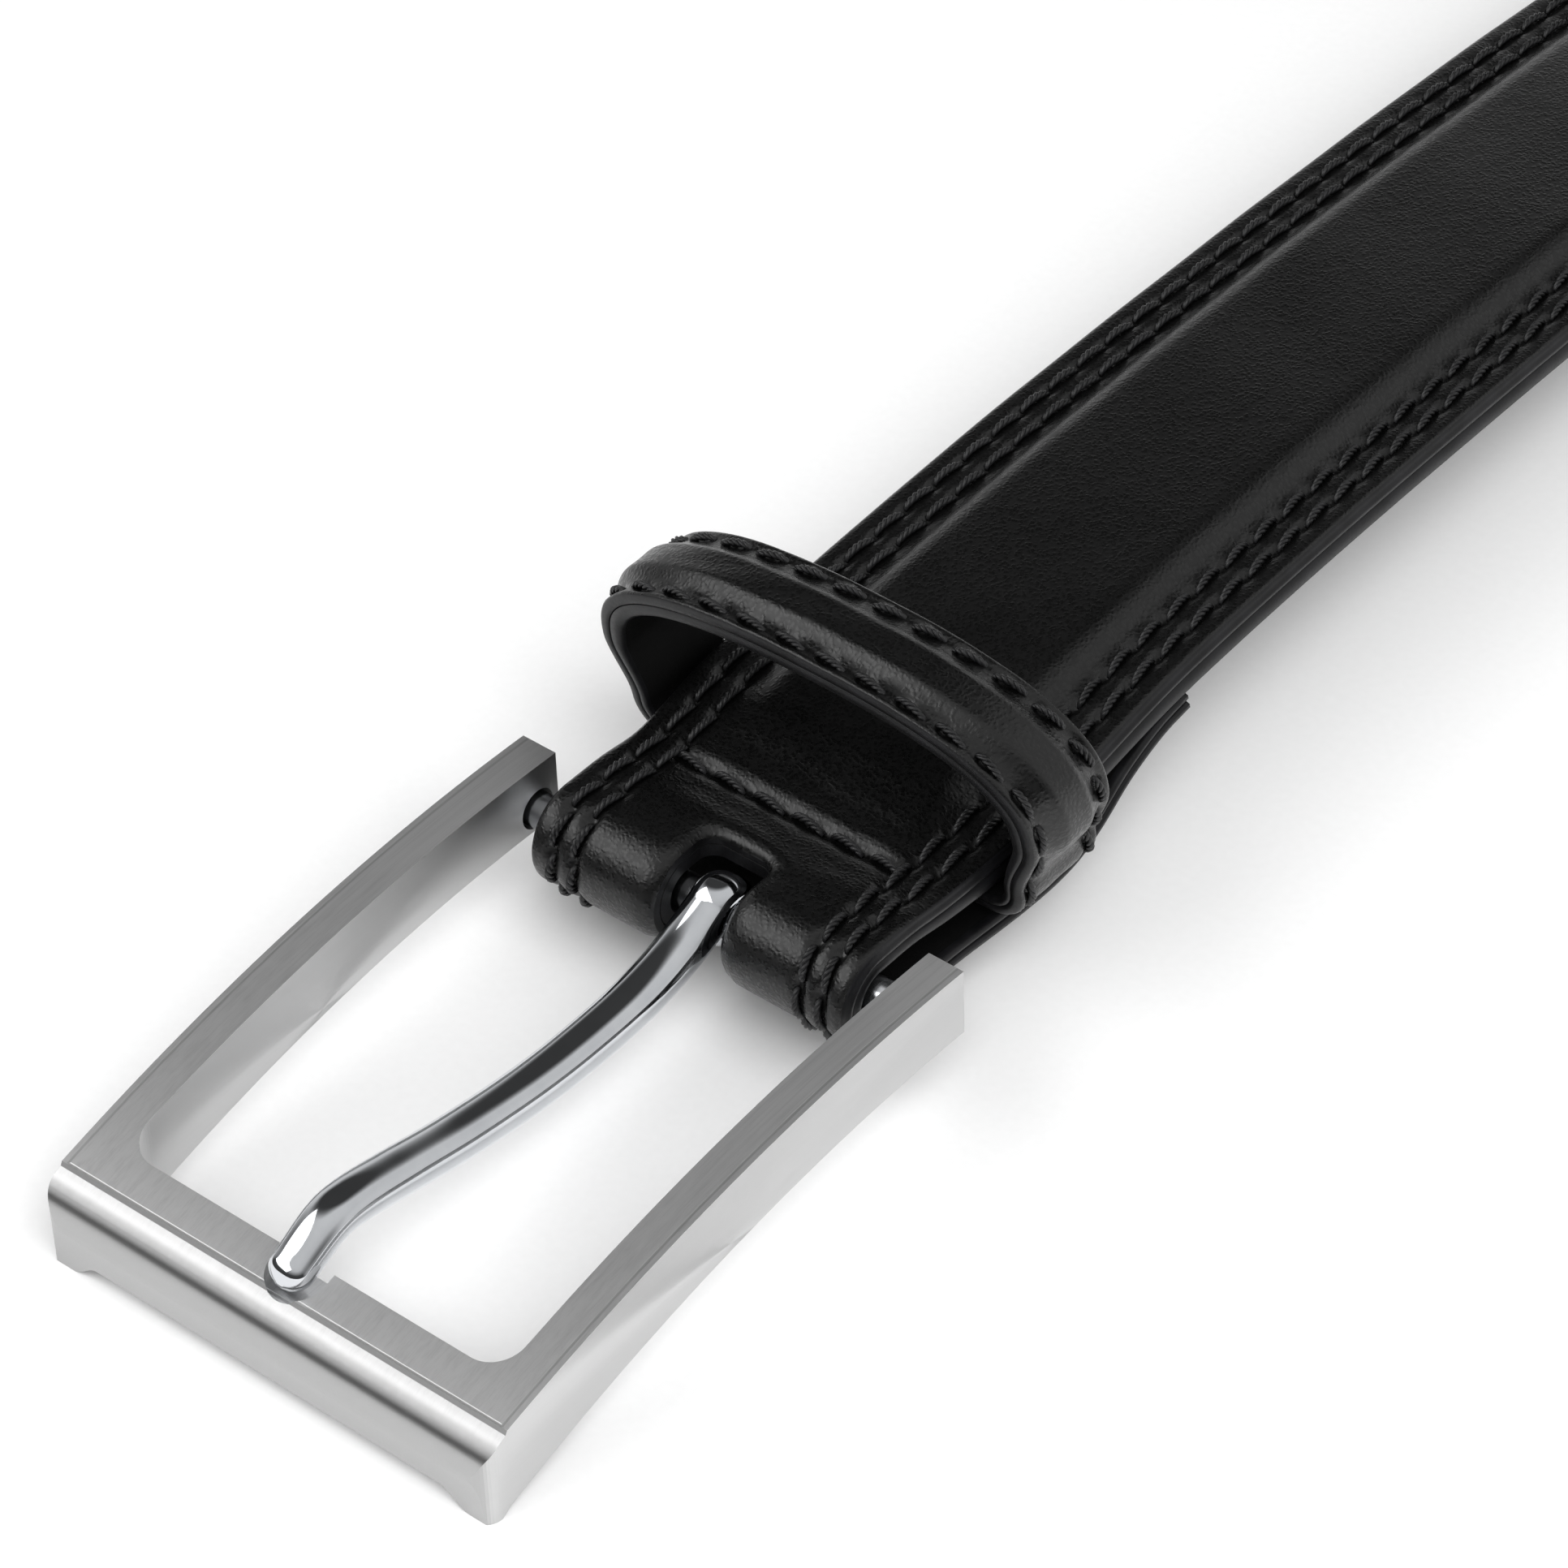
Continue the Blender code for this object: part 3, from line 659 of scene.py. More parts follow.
@dataclass(frozen=True)
class StrapSize:
    """Sizes of the strap, in millimetres."""

    half_width: float = 17.5
    fold_half_width: float = 16.4
    grain: float = 1.35
    thick: float = 3.4
    fold_thick: float = 2.7
    turnback_thick: float = 2.4
    fold_radius: float = 4.8
    crown: float = 1.45
    crown_line: float = 8.9
    border_line: float = 11.9
    outer_row: float = 15.0
    inner_row: float = 12.6
    stitch: float = 4.1
    cross_row_y: float = 58.5
    twist_deg: float = 4.5
    slot_half: float = 3.5
    slot_end_y: float = 52.8
    slot_corner: float = 1.6
    roll_start_y: float = 270.0
    roll_radius: float = 39.4
    roll_pitch: float = 5.4
    roll_turns: float = 4.75
    tip_taper: float = 24.0
    tip_half_width: float = 3.0
    hole_count: int = 5
    hole_pitch: float = 25.0
    first_hole: float = 105.0
    hole_radius: float = 2.0
    edge_radius: float = 0.7
    fine_end_y: float = 208.0


class StrapRoute:
    """Side-view line of the grain face from the turned-back end to the tip."""

    TURNBACK = ((90.0, 9.9), (86.5, 9.5), (82.5, 8.2), (78.5, 6.0), (74.5, 4.65), (69.0, 4.5),
                (62.0, 4.5), (56.0, 4.5), (BAR_Y, BAR_Z - 4.8))
    TOP = ((BAR_Y, BAR_Z + 4.8), (54.0, 13.95), (58.5, 13.4), (63.0, 13.6), (68.0, 14.1),
           (75.7, 14.85), (85.8, 15.8), (95.8, 16.2), (105.8, 16.3), (116.0, 16.2),
           (126.0, 15.95), (146.0, 15.2), (166.0, 14.0), (186.0, 12.4), (205.0, 10.3),
           (225.0, 7.6), (245.0, 5.0), (258.0, 3.9), (270.0, 3.4))

    def __init__(self, size: StrapSize) -> None:
        """Sample the line densely and measure along it.

        Args:
            size: strap sizes.
        """
        self.size = size
        under = hermite(self.TURNBACK, 24)
        fold = arc(BAR_Y, BAR_Z, size.fold_radius, -90.0, -270.0, 60)
        top = hermite(self.TOP, 30)
        turn = np.linspace(0.0, size.roll_turns, int(size.roll_turns * 180) + 1)[1:]
        radius = size.roll_radius - size.roll_pitch * turn
        angle = 2.0 * np.pi * turn
        centre_z = size.roll_radius + size.thick
        roll = np.column_stack((size.roll_start_y + radius * np.sin(angle),
                                centre_z - radius * np.cos(angle)))
        self.line = np.concatenate((under[:-1], fold[:-1], top, roll))
        self.s = distances(self.line)
        self.fold_s = self.s[len(under) - 1]
        self.top_s = self.s[len(under) + len(fold) - 2]
        self.roll_s = self.s[-len(roll) - 1]
        self.length = self.s[-1]
        tangent = np.gradient(self.line, self.s, axis=0)
        for _ in range(3):
            tangent[1:-1] = (tangent[:-2] + tangent[1:-1] * 2.0 + tangent[2:]) / 4.0
        tangent /= np.linalg.norm(tangent, axis=1)[:, None]
        self.normal = np.column_stack((-tangent[:, 1], tangent[:, 0]))
        along = np.where(self.s >= self.roll_s, size.roll_start_y, self.line[:, 0])
        twist = smoothstep(along, 60.0, 92.0) * (1.0 - smoothstep(along, 185.0, 262.0))
        sign = np.where(self.s < self.fold_s, -1.0, 1.0)
        self.twist = math.radians(size.twist_deg) * twist * sign

    def along_y(self, s: np.ndarray) -> np.ndarray:
        """The y of the line at each distance, held where the roll begins."""
        flat = np.interp(s, self.s, self.line[:, 0])
        return np.where(s >= self.roll_s, self.size.roll_start_y, flat)

    def top_distance(self, y: float) -> float:
        """Distance along the route at which the top run passes a y."""
        chosen = (self.s >= self.top_s) & (self.s <= self.roll_s)
        return float(np.interp(y, self.line[chosen, 0], self.s[chosen]))

    def half_width(self, s: np.ndarray) -> np.ndarray:
        """Half width at each distance: narrow at the fold, rounded off at the tip."""
        size = self.size
        wide = size.fold_half_width + (size.half_width - size.fold_half_width) * smoothstep(
            self.along_y(s), 57.0, 72.0)
        near = np.clip(1.0 - (self.length - s) / size.tip_taper, 0.0, 1.0)
        spread = size.half_width - size.tip_half_width
        tip = size.tip_half_width + spread * np.sqrt(1.0 - near**2)
        return np.where(near > 0.0, tip, wide)

    def thickness(self, s: np.ndarray) -> np.ndarray:
        """Whole thickness at the edge at each distance."""
        size, y = self.size, self.along_y(s)
        over = size.fold_thick + (size.thick - size.fold_thick) * smoothstep(y, 54.0, 64.0)
        thinner = size.turnback_thick - size.fold_thick
        under = size.fold_thick + thinner * smoothstep(y, 50.0, 60.0)
        return np.where(s >= self.top_s, over, np.where(s < self.fold_s, under, size.fold_thick))

    def place(self, s: np.ndarray, x: np.ndarray, h: np.ndarray) -> np.ndarray:
        """Turn strap coordinates into points.

        Args:
            s: distance along the strap.
            x: distance across it.
            h: height above its grain face.

        Returns:
            Points with a last axis of 3, in millimetres.
        """
        s, x, h = np.broadcast_arrays(s, x, h)
        y = np.interp(s, self.s, self.line[:, 0])
        z = np.interp(s, self.s, self.line[:, 1])
        ny = np.interp(s, self.s, self.normal[:, 0])
        nz = np.interp(s, self.s, self.normal[:, 1])
        turn = np.interp(s, self.s, self.twist)
        lift = x * np.sin(turn) + h * np.cos(turn)
        across = x * np.cos(turn) - h * np.sin(turn)
        return np.stack((across, y + lift * ny, z + lift * nz), axis=-1)


class StrapSurface:
    """Height of the grain face: padding, sewn channels, puckers and creases."""

    CHANNEL, PUCKER = (0.20, 0.6), (0.5, 0.55)  # depth and half width beside a sewn row
    CROSS_CHANNEL, CROSS_PUCKER = (0.35, 0.8), (0.4, 0.6)
    HOLE_REACH = 0.7  # half length of a pucker
    CROSS_LIP = (0.16, 1.7, 0.9)  # height, place and half width of the lip behind the cross row
    WRINKLE, WAVE = 0.028, 0.05  # heights of fold wrinkles and of the padding's slow waves

    def __init__(self, route: StrapRoute) -> None:
        """Keep the route.

        Args:
            route: where the strap runs.
        """
        self.route, self.size = route, route.size
        self.first_stitch = route.fold_s + 1.0

    def crown(self, s: np.ndarray) -> np.ndarray:
        """How far the padding is raised at each distance, 0 to 1."""
        y = self.route.along_y(s)
        over = smoothstep(y, 57.5, 74.0) * (s >= self.route.top_s)
        return over * smoothstep(self.route.length - s, 8.0, 34.0)

    def height(self, s: np.ndarray, x: np.ndarray, half: np.ndarray) -> np.ndarray:
        """Height above the flat grain face.

        Args:
            s: distance along the strap.
            x: distance across it.
            half: half width there.

        Returns:
            Millimetres above the face.
        """
        size, route = self.size, self.route
        share = np.abs(x) * (size.half_width / half)
        padding = 1.0 - smoothstep(share, size.crown_line, size.border_line)
        h = size.crown * self.crown(s) * padding
        y = route.along_y(s)
        sewn = smoothstep(s, route.fold_s - 2.0, route.fold_s + 1.0)
        phase = (s - self.first_stitch) / size.stitch
        to_hole = (phase - np.round(phase)) * size.stitch
        for row in (size.outer_row, size.inner_row):
            h = h - sewn * self.sunk(share - row, to_hole, self.CHANNEL, self.PUCKER)
        over = s >= route.top_s
        gap = np.where(over, y - size.cross_row_y, 50.0)
        hole_x = (x / size.stitch - np.round(x / size.stitch)) * size.stitch
        cross = smoothstep(size.inner_row - share, -0.5, 0.5)
        lip, place, wide = self.CROSS_LIP
        h = h - cross * self.sunk(gap, hole_x, self.CROSS_CHANNEL, self.CROSS_PUCKER)
        h = h + cross * lip * bell(gap - place, wide)
        wrinkle = np.sin(1.9 * y + 1.1 * np.sin(0.35 * x) + 0.6 * np.sin(0.9 * x + y))
        near = np.where(over, smoothstep(y, 50.5, 53.0) * (1.0 - smoothstep(y, 66.0, 74.0)), 0.0)
        middle = 1.0 - smoothstep(share, 8.0, 12.0)
        h = h + self.WRINKLE * wrinkle * near * middle
        wave = np.sin(0.21 * y + 0.3 * x) * np.sin(0.13 * y - 0.17 * x)
        return h + self.WAVE * wave * self.crown(s)

    def sunk(self, across: np.ndarray, to_hole: np.ndarray, channel: tuple[float, float],
             pucker: tuple[float, float]) -> np.ndarray:
        """Depth beside a sewn row: a long bell with a short one at each hole.

        Args:
            across: distance from the row.
            to_hole: distance along it to the nearest hole.
            channel: depth and half width of the long one.
            pucker: depth and half width of the short ones.

        Returns:
            Millimetres below the face.
        """
        holes = pucker[0] * bell(across, pucker[1]) * bell(to_hole, self.HOLE_REACH)
        return channel[0] * bell(across, channel[1]) + holes

    def slot_drop(self, s: np.ndarray, x: np.ndarray) -> np.ndarray:
        """How far the face rolls down beside the prong slot."""
        size, y = self.size, self.route.along_y(s)
        side, back = size.slot_half - size.slot_corner, size.slot_end_y - size.slot_corner
        dx = np.maximum(np.abs(x) - side, 0.0)
        dy = np.maximum(y - back, 0.0)
        away = np.hypot(dx, dy) - size.slot_corner
        near = np.clip(1.0 - away / 1.5, 0.0, 1.0)
        return (1.0 - np.sqrt(1.0 - near**2)) * (y < size.slot_end_y + 2.0)


class Strap:
    """Grain leather, lining and sewn rows of the strap."""

    def __init__(self, size: StrapSize) -> None:
        """Prepare the route.

        Args:
            size: strap sizes.
        """
        self.size = size
        self.route = StrapRoute(size)
        self.surface = StrapSurface(self.route)

    def stations(self, fine: float, coarse: float) -> np.ndarray:
        """Distances of the mesh rows: fine where detail shows, coarse in the roll."""
        split = self.route.top_distance(self.size.fine_end_y)
        near = np.arange(0.0, split, fine)
        far = np.arange(split, self.route.length - 26.0, coarse)
        tip = self.route.length - 26.0 * (1.0 - np.linspace(0.0, 1.0, 30) ** 0.7)
        return np.concatenate((near, far, tip))

    def columns(self) -> np.ndarray:
        """Shares of the half width across the face, close together at the sewn rows."""
        side = np.linspace(0.60, 0.955, 20)
        roll = 1.0 - 0.045 * (1.0 - np.sin(np.linspace(0.0, np.pi / 2, 5)[1:]))
        half = np.concatenate((np.linspace(0.0, 0.60, 11)[1:], side[1:], roll))
        return np.concatenate((-half[::-1], [0.0], half))

    def build_grain(self, grain: bpy.types.Material, paint: bpy.types.Material) -> None:
        """Make the grain leather with its raised middle and painted edges.

        Args:
            grain: face material.
            paint: edge material.
        """
        s = self.stations(0.42, 2.3)[:, None]
        shares = self.columns()[None, :]
        half = self.route.half_width(s)
        x = shares * half
        h = self.surface.height(s, x, half) - self.surface.slot_drop(s, x)
        h = h - rounded_edge(half - np.abs(x), self.size.edge_radius)
        belly = 0.85 * self.size.crown * self.surface.crown(s)  # the padding lies in this hollow
        low = -self.size.grain
        wall = [(1.012, -0.80), (1.012, low + 0.2), (0.992, low), (0.66, low)]
        under = [*wall, (0.50, low + belly)]
        under += [(-share, depth) for share, depth in reversed(under)]
        x = np.concatenate([x, *[share * half for share, _ in under]], axis=1)
        h = np.concatenate([h, *[depth + 0.0 * s for _, depth in under]], axis=1)
        piece = Piece("strap_grain_face", Body.STRAP, ("strap_grain_leather", "strap_filler"),
                      "black_calf")
        painted = (slice(0, 2), slice(shares.shape[1] - 3, None))
        self.layer(piece, s, x, h, painted, (grain, paint))

    def build_lining(self, lining: bpy.types.Material, paint: bpy.types.Material) -> None:
        """Make the lining leather with its painted edges.

        Args:
            lining: face material.
            paint: edge material.
        """
        s = self.stations(1.0, 2.3)[:, None]
        half = self.route.half_width(s)
        thick = self.route.thickness(s)
        top = -self.size.grain - 0.12
        shape = ((-0.97, 0.0), (-0.5, 0.0), (0.0, 0.0), (0.5, 0.0), (0.97, 0.0), (0.995, 0.12),
                 (1.01, 0.35), (1.01, 0.7), (0.99, 0.93), (0.965, 1.0), (0.6, 1.0), (0.2, 1.0),
                 (-0.2, 1.0), (-0.6, 1.0), (-0.965, 1.0), (-0.99, 0.93), (-1.01, 0.7),
                 (-1.01, 0.35), (-0.995, 0.12))
        x = np.concatenate([share * half for share, _ in shape], axis=1)
        h = np.concatenate([top - depth * (thick + top) for _, depth in shape], axis=1)
        piece = Piece("strap_lining_face", Body.STRAP, ("strap_lining",), "lining_leather")
        self.layer(piece, s, x, h, (slice(4, 9), slice(14, None)), (lining, paint))

    def layer(self, piece: Piece, s: np.ndarray, x: np.ndarray, h: np.ndarray,
              painted: Sequence[slice], materials: Sequence[bpy.types.Material]) -> None:
        """Make one leather layer with its slot and holes.

        Args:
            piece: piece to fill.
            s: distance of each row.
            x: distance across, a ring of points for each row.
            h: height of the same points.
            painted: columns of the ring that are edge paint.
            materials: face and edge materials.
        """
        rows, ring = x.shape
        index = painted_slots((rows - 1, ring), painted)
        uv = np.stack(np.broadcast_arrays(s, x), axis=-1).reshape(-1, 2)
        quads = grid_quads(rows, ring)[:, ::-1]
        caps = [list(reversed(c)) for c in tube_caps(rows, ring)]
        item = piece.mesh(self.route.place(s, x, h), quads, materials, uv, index, caps)
        self.punch(item, materials[1])
        piece.settle()

    def punch(self, item: bpy.types.Object, paint: bpy.types.Material) -> None:
        """Cut the prong slot and the adjustment holes.

        Args:
            item: strap layer.
            paint: material of the cut walls.
        """
        size = self.size
        side, back = size.slot_half - size.slot_corner, size.slot_end_y - size.slot_corner
        outline = [(-size.slot_half, 40.0), (size.slot_half, 40.0)]
        outline += arc(side, back, size.slot_corner, 0.0, 90.0, 10).tolist()
        outline += arc(-side, back, size.slot_corner, 90.0, 180.0, 10).tolist()
        guides = [solid_prism("slot_guide", outline, "z", 1.0, 18.0, paint)]
        ring = arc(0.0, 0.0, size.hole_radius, 0.0, 345.0, 23)
        for index in range(size.hole_count):
            s = self.route.length - size.first_hole - index * size.hole_pitch
            ends = [self.route.place(s + ring[:, 1], ring[:, 0], h) for h in (-3.75, 1.75)]
            guides.append(guide_solid(f"hole_guide_{index}", np.stack(ends), paint))
        for guide in guides:
            carve(item, guide)
        apply_modifiers(item, guides)

    def build_rows(self, thread: bpy.types.Material) -> None:
        """Make the four sewn rows along the strap and the one across it.

        Args:
            thread: thread material.
        """
        size, route = self.size, self.route
        count = int((route.length - 12.0 - self.surface.first_stitch) / size.stitch)
        start = self.surface.first_stitch + np.arange(count) * size.stitch
        keep = (start < route.top_s - 3.0) | (start + size.stitch > route.top_s - 1.0)
        start = start[keep]
        fine_end = route.top_distance(size.fine_end_y)
        rows = (("left_outer", -1.0, size.outer_row), ("left_inner", -1.0, size.inner_row),
                ("right_inner", 1.0, size.inner_row), ("right_outer", 1.0, size.outer_row))
        for name, side, row in rows:
            def place(along: np.ndarray, across: np.ndarray, up: np.ndarray,
                      side: float = side, row: float = row) -> np.ndarray:
                """Put thread coordinates on the strap's face."""
                half = route.half_width(along)
                x = side * (row * half / size.half_width) + across
                return route.place(along, x, up)

            sewer = Sewer(size.stitch, side)
            parts = [sewer.stitches(start[start < fine_end], place, True),
                     sewer.stitches(start[start >= fine_end], place, False)]
            piece = Piece(f"sewn_row_{name}", Body.STRAP, (f"thread_{name}",), "black_thread")
            sewer.join(piece, parts, thread)
        centre = route.top_distance(size.cross_row_y)

        def across_place(along: np.ndarray, across: np.ndarray, up: np.ndarray) -> np.ndarray:
            """Put the cross row's thread coordinates on the strap's face."""
            return route.place(centre + across, along, up - 0.12)

        sewer = Sewer(size.stitch, 1.0)
        first = (np.arange(6) - 3.0) * size.stitch
        piece = Piece("sewn_row_cross", Body.STRAP, ("thread_cross_row",), "black_thread")
        sewer.join(piece, [sewer.stitches(first, across_place, True)], thread)


class Sewer:
    """Makes rows of stitches: short lengths of three-strand thread that dip into their holes."""

    STRAND_RADIUS, PLAIN_RADIUS = 0.205, 0.42
    STRAND_OFFSET = 0.19  # of each strand's middle from the thread's
    TURNS = 1.9  # of the strands in one stitch
    INSET = 0.28  # from the hole's middle to the thread's end
    SUNK, ARCH = -0.42, 0.64  # depth in the hole, rise to the middle
    SLANT = 0.16

    def __init__(self, pitch: float, lean: float) -> None:
        """Remember the stitch length.

        Args:
            pitch: hole to hole, in millimetres.
            lean: which way each stitch slants, 1 or -1.
        """
        self.pitch, self.lean = pitch, lean

    def stitches(self, start: np.ndarray, place: Callable[..., np.ndarray],
                 fine: bool) -> tuple[np.ndarray, ...]:
        """Make stitches that begin at the given distances.

        Args:
            start: distance of each stitch's first hole.
            place: turns (along, across, up) into points.
            fine: three twisted strands if true, one plain strand if not.

        Returns:
            Points, quads, UV pairs and end faces.
        """
        steps, sides = (15, 7) if fine else (4, 4)
        strands = 3 if fine else 1
        t = np.linspace(0.0, 1.0, steps)[None, None, :, None]
        ring = 2.0 * np.pi * np.arange(sides)[None, None, None, :] / sides
        strand = 2.0 * np.pi * np.arange(strands)[None, :, None, None] / strands
        spin = strand + 2.0 * np.pi * self.TURNS * t * self.lean
        offset = self.STRAND_OFFSET if fine else 0.0
        ease = np.sin(np.pi * t) ** 0.5
        radius = (self.STRAND_RADIUS if fine else self.PLAIN_RADIUS) * (0.72 + 0.28 * ease)
        along = start[:, None, None, None] + self.INSET + (self.pitch - 2.0 * self.INSET) * t
        up = self.SUNK + self.ARCH * ease + offset * np.cos(spin) * ease
        slant = self.lean * self.SLANT * np.cos(np.pi * t)
        across = slant + offset * np.sin(spin) * ease
        up = up + radius * np.sin(ring)
        across = across + radius * np.cos(ring)
        along, across, up = np.broadcast_arrays(along + 0.0 * ring, across, up)
        points = place(along, across, up)
        tubes = along.shape[0] * along.shape[1]
        first = (np.arange(tubes) * steps * sides)[:, None, None]
        quads = grid_quads(steps, sides) + first
        caps = np.array(tube_caps(steps, sides)) + first
        uv = np.stack(np.broadcast_arrays(along, ring / (2 * np.pi) * 1.5), axis=-1)
        return (points.reshape(-1, 3), quads.reshape(-1, 4), uv.reshape(-1, 2),
                caps.reshape(-1, sides))

    def join(self, piece: Piece, parts: Sequence[tuple[np.ndarray, ...]],
             thread: bpy.types.Material) -> None:
        """Join stitches into one object with its faces outwards, and settle it.

        Args:
            piece: piece to fill.
            parts: results of stitches.
            thread: thread material.
        """
        points, quads, uvs, caps, shift = [], [], [], [], 0
        for p, q, uv, cap in parts:
            if len(p) == 0:
                continue
            a, b, c, d = (p[q[:, k]] for k in range(4))
            volume = np.einsum("ij,ij->i", np.cross(c - a, d - b), (a + c) / 2 - p.mean(0)).sum()
            turn = -1 if volume < 0.0 else 1
            quads.append(q[:, ::turn] + shift)
            caps += (cap[:, ::turn] + shift).tolist()
            points.append(p)
            uvs.append(uv)
            shift += len(p)
        piece.mesh(np.concatenate(points), np.concatenate(quads), (thread,), np.concatenate(uvs),
                   caps=caps)
        piece.settle()


# --- keeper ---------------------------------------------------------------------------------


@dataclass(frozen=True)
class KeeperSize:
    """Sizes of the keeper loop, in millimetres."""

    half_width: float = 22.6
    mid_z: float = 18.4
    rise: float = 10.4
    drop: float = 10.4
    flat: float = 16.6
    corner: float = 4.0
    arch_exponent: float = 2.5
    front_y: float = 62.9
    width: float = 10.2
    lean: float = -0.15
    lean_z: float = 12.0
    grain: float = 1.15
    wall: float = 2.0
    arch_extra: float = 0.6
    crown: float = 0.85
    row: float = 3.85
    stitch: float = 4.0
    edge_radius: float = 0.5


class Keeper:
    """The sewn loop that holds the belt's tip down."""

    def __init__(self, size: KeeperSize) -> None:
        """Sample the loop's outline.

        Args:
            size: loop sizes.
        """
        self.size = size
        flat, low = size.flat, size.mid_z - size.drop + size.corner
        base = np.column_stack((np.linspace(-flat, flat, 60), np.full(60, low - size.corner)))
        corner = arc(flat, low, size.corner, -90.0, 0.0, 40)[1:]
        share = np.linspace(0.0, 1.0, 40)[1:]
        side = flat + size.corner
        flare = np.column_stack((side + (size.half_width - side) * smoothstep(share, 0.0, 1.0),
                                 low + (size.mid_z - low) * share))
        right = np.concatenate((corner, flare))
        angles = np.linspace(0.0, np.pi, 400)[1:-1]
        c, s = superellipse(angles, size.arch_exponent)
        arch = np.column_stack((size.half_width * c, size.mid_z + size.rise * s))
        line = np.concatenate((base, right, arch, right[::-1] * (-1.0, 1.0), base[:1]))
        s_line = distances(line)
        self.length = s_line[-1]
        self.s = np.linspace(0.0, self.length, 1200)
        raw = np.column_stack([np.interp(self.s, s_line, line[:, k]) for k in (0, 1)])
        step = (np.roll(raw[:-1], -1, axis=0) - np.roll(raw[:-1], 1, axis=0))
        for _ in range(6):
            step = (np.roll(step, 1, axis=0) + 2.0 * step + np.roll(step, -1, axis=0)) / 4.0
        step /= np.linalg.norm(step, axis=1)[:, None]
        normal = np.column_stack((step[:, 1], -step[:, 0]))
        self.line, self.normal = raw, np.concatenate((normal, normal[:1]))
        self.low = low

    def arched(self, s: np.ndarray) -> np.ndarray:
        """How much of the padding there is at each distance: none in the lower run."""
        z = np.interp(np.mod(s, self.length), self.s, self.line[:, 1])
        return smoothstep(z, self.low, self.size.mid_z + 2.0)

    def place(self, s: np.ndarray, v: np.ndarray, h: np.ndarray) -> np.ndarray:
        """Turn loop coordinates into points.

        Args:
            s: distance round the loop.
            v: distance along the belt from the loop's middle.
            h: height above its outer face.

        Returns:
            Points with a last axis of 3, in millimetres.
        """
        size = self.size
        s, v, h = np.broadcast_arrays(np.mod(s, self.length), v, h)
        x, z = (np.interp(s, self.s, self.line[:, k]) for k in (0, 1))
        nx, nz = (np.interp(s, self.s, self.normal[:, k]) for k in (0, 1))
        x, z = x + h * nx, z + h * nz
        y = size.front_y + size.width / 2.0 + v + size.lean * (z - size.lean_z)
        return np.stack((x, y, z), axis=-1)

    def face(self, s: np.ndarray, v: np.ndarray, start: float) -> np.ndarray:
        """Height of the outer face: padding, sewn channels and puckers."""
        size = self.size
        h = size.crown * self.arched(s) * (1.0 - smoothstep(np.abs(v), 1.3, 3.2))
        phase = (s - start) / size.stitch
        to_hole = (phase - np.round(phase)) * size.stitch
        across = np.abs(v) - size.row
        h = h - 0.22 * bell(across, 0.6) - 0.4 * bell(across, 0.55) * bell(to_hole, 0.7)
        h = h - rounded_edge(size.width / 2.0 - np.abs(v), size.edge_radius)
        return h + 0.04 * np.sin(0.45 * s + v) * np.sin(0.9 * v + 0.2 * s)

    def build(self, grain: bpy.types.Material, lining: bpy.types.Material,
              paint: bpy.types.Material, thread: bpy.types.Material) -> None:
        """Make the loop's leathers and its two sewn rows.

        Args:
            grain: outer face material.
            lining: inner face material.
            paint: edge material.
            thread: thread material.
        """
        s = np.linspace(0.0, self.length, 380, endpoint=False)[:, None]
        self.build_grain(s, (grain, paint))
        self.build_lining(s, (lining, paint))
        self.build_rows(thread)

    def build_grain(self, s: np.ndarray, materials: Sequence[bpy.types.Material]) -> None:
        """Make the outer leather at the given distances round the loop."""
        half, corner, low = self.size.width / 2.0, self.size.edge_radius, -self.size.grain
        turn = corner * (1.0 - np.cos(np.linspace(0.0, np.pi / 2, 5)))
        face = np.concatenate((turn[:-1] - half, np.linspace(corner - half, half - corner, 45),
                               half - turn[-2::-1]))[None, :]
        under = [(half + 0.04, -0.7), (half + 0.04, low + 0.06), (half - 0.05, low), (3.0, low)]
        under += [(-v, depth) for v, depth in reversed(under)]
        v = np.concatenate((face, [[v for v, _ in under]]), axis=1)
        depth = [depth + 0.0 * s for _, depth in under]
        h = np.concatenate((self.face(s, face, 0.0), *depth), axis=1)
        piece = Piece("keeper_outer_leather", Body.KEEPER,
                      ("keeper_grain_leather", "keeper_filler"), "black_calf")
        painted = (slice(0, 2), slice(face.shape[1] - 3, None))
        self.shell(piece, s, v, h, painted, materials)

    def build_lining(self, s: np.ndarray, materials: Sequence[bpy.types.Material]) -> None:
        """Make the inner leather at the given distances round the loop."""
        half, size = self.size.width / 2.0, self.size
        wall = size.wall + size.arch_extra * self.arched(s)
        top = -size.grain - 0.04
        shape = ((-half + 0.05, 0.0), (0.0, 0.0), (half - 0.05, 0.0), (half + 0.04, 0.06),
                 (half + 0.05, 0.5), (half - 0.05, 0.8), (half - 0.35, 1.0), (2.0, 1.0),
                 (-2.0, 1.0), (-half + 0.35, 1.0), (-half + 0.05, 0.8), (-half - 0.05, 0.5),
                 (-half - 0.04, 0.06))
        v = np.array([[v for v, _ in shape]])
        h = np.concatenate([top - depth * (wall + top) for _, depth in shape], axis=1)
        piece = Piece("keeper_inner_leather", Body.KEEPER, ("keeper_lining",), "lining_leather")
        self.shell(piece, s, v, h, (slice(2, 6), slice(9, None)), materials)

    def build_rows(self, thread: bpy.types.Material) -> None:
        """Make the two sewn rows round the loop."""
        size = self.size
        count = int(self.length / size.stitch)
        pitch = self.length / count
        for name, side in (("front", -1.0), ("back", 1.0)):
            def place(along: np.ndarray, across: np.ndarray, up: np.ndarray,
                      side: float = side) -> np.ndarray:
                """Put thread coordinates on the loop's face."""
                return self.place(along, side * size.row + across, up - 0.14)

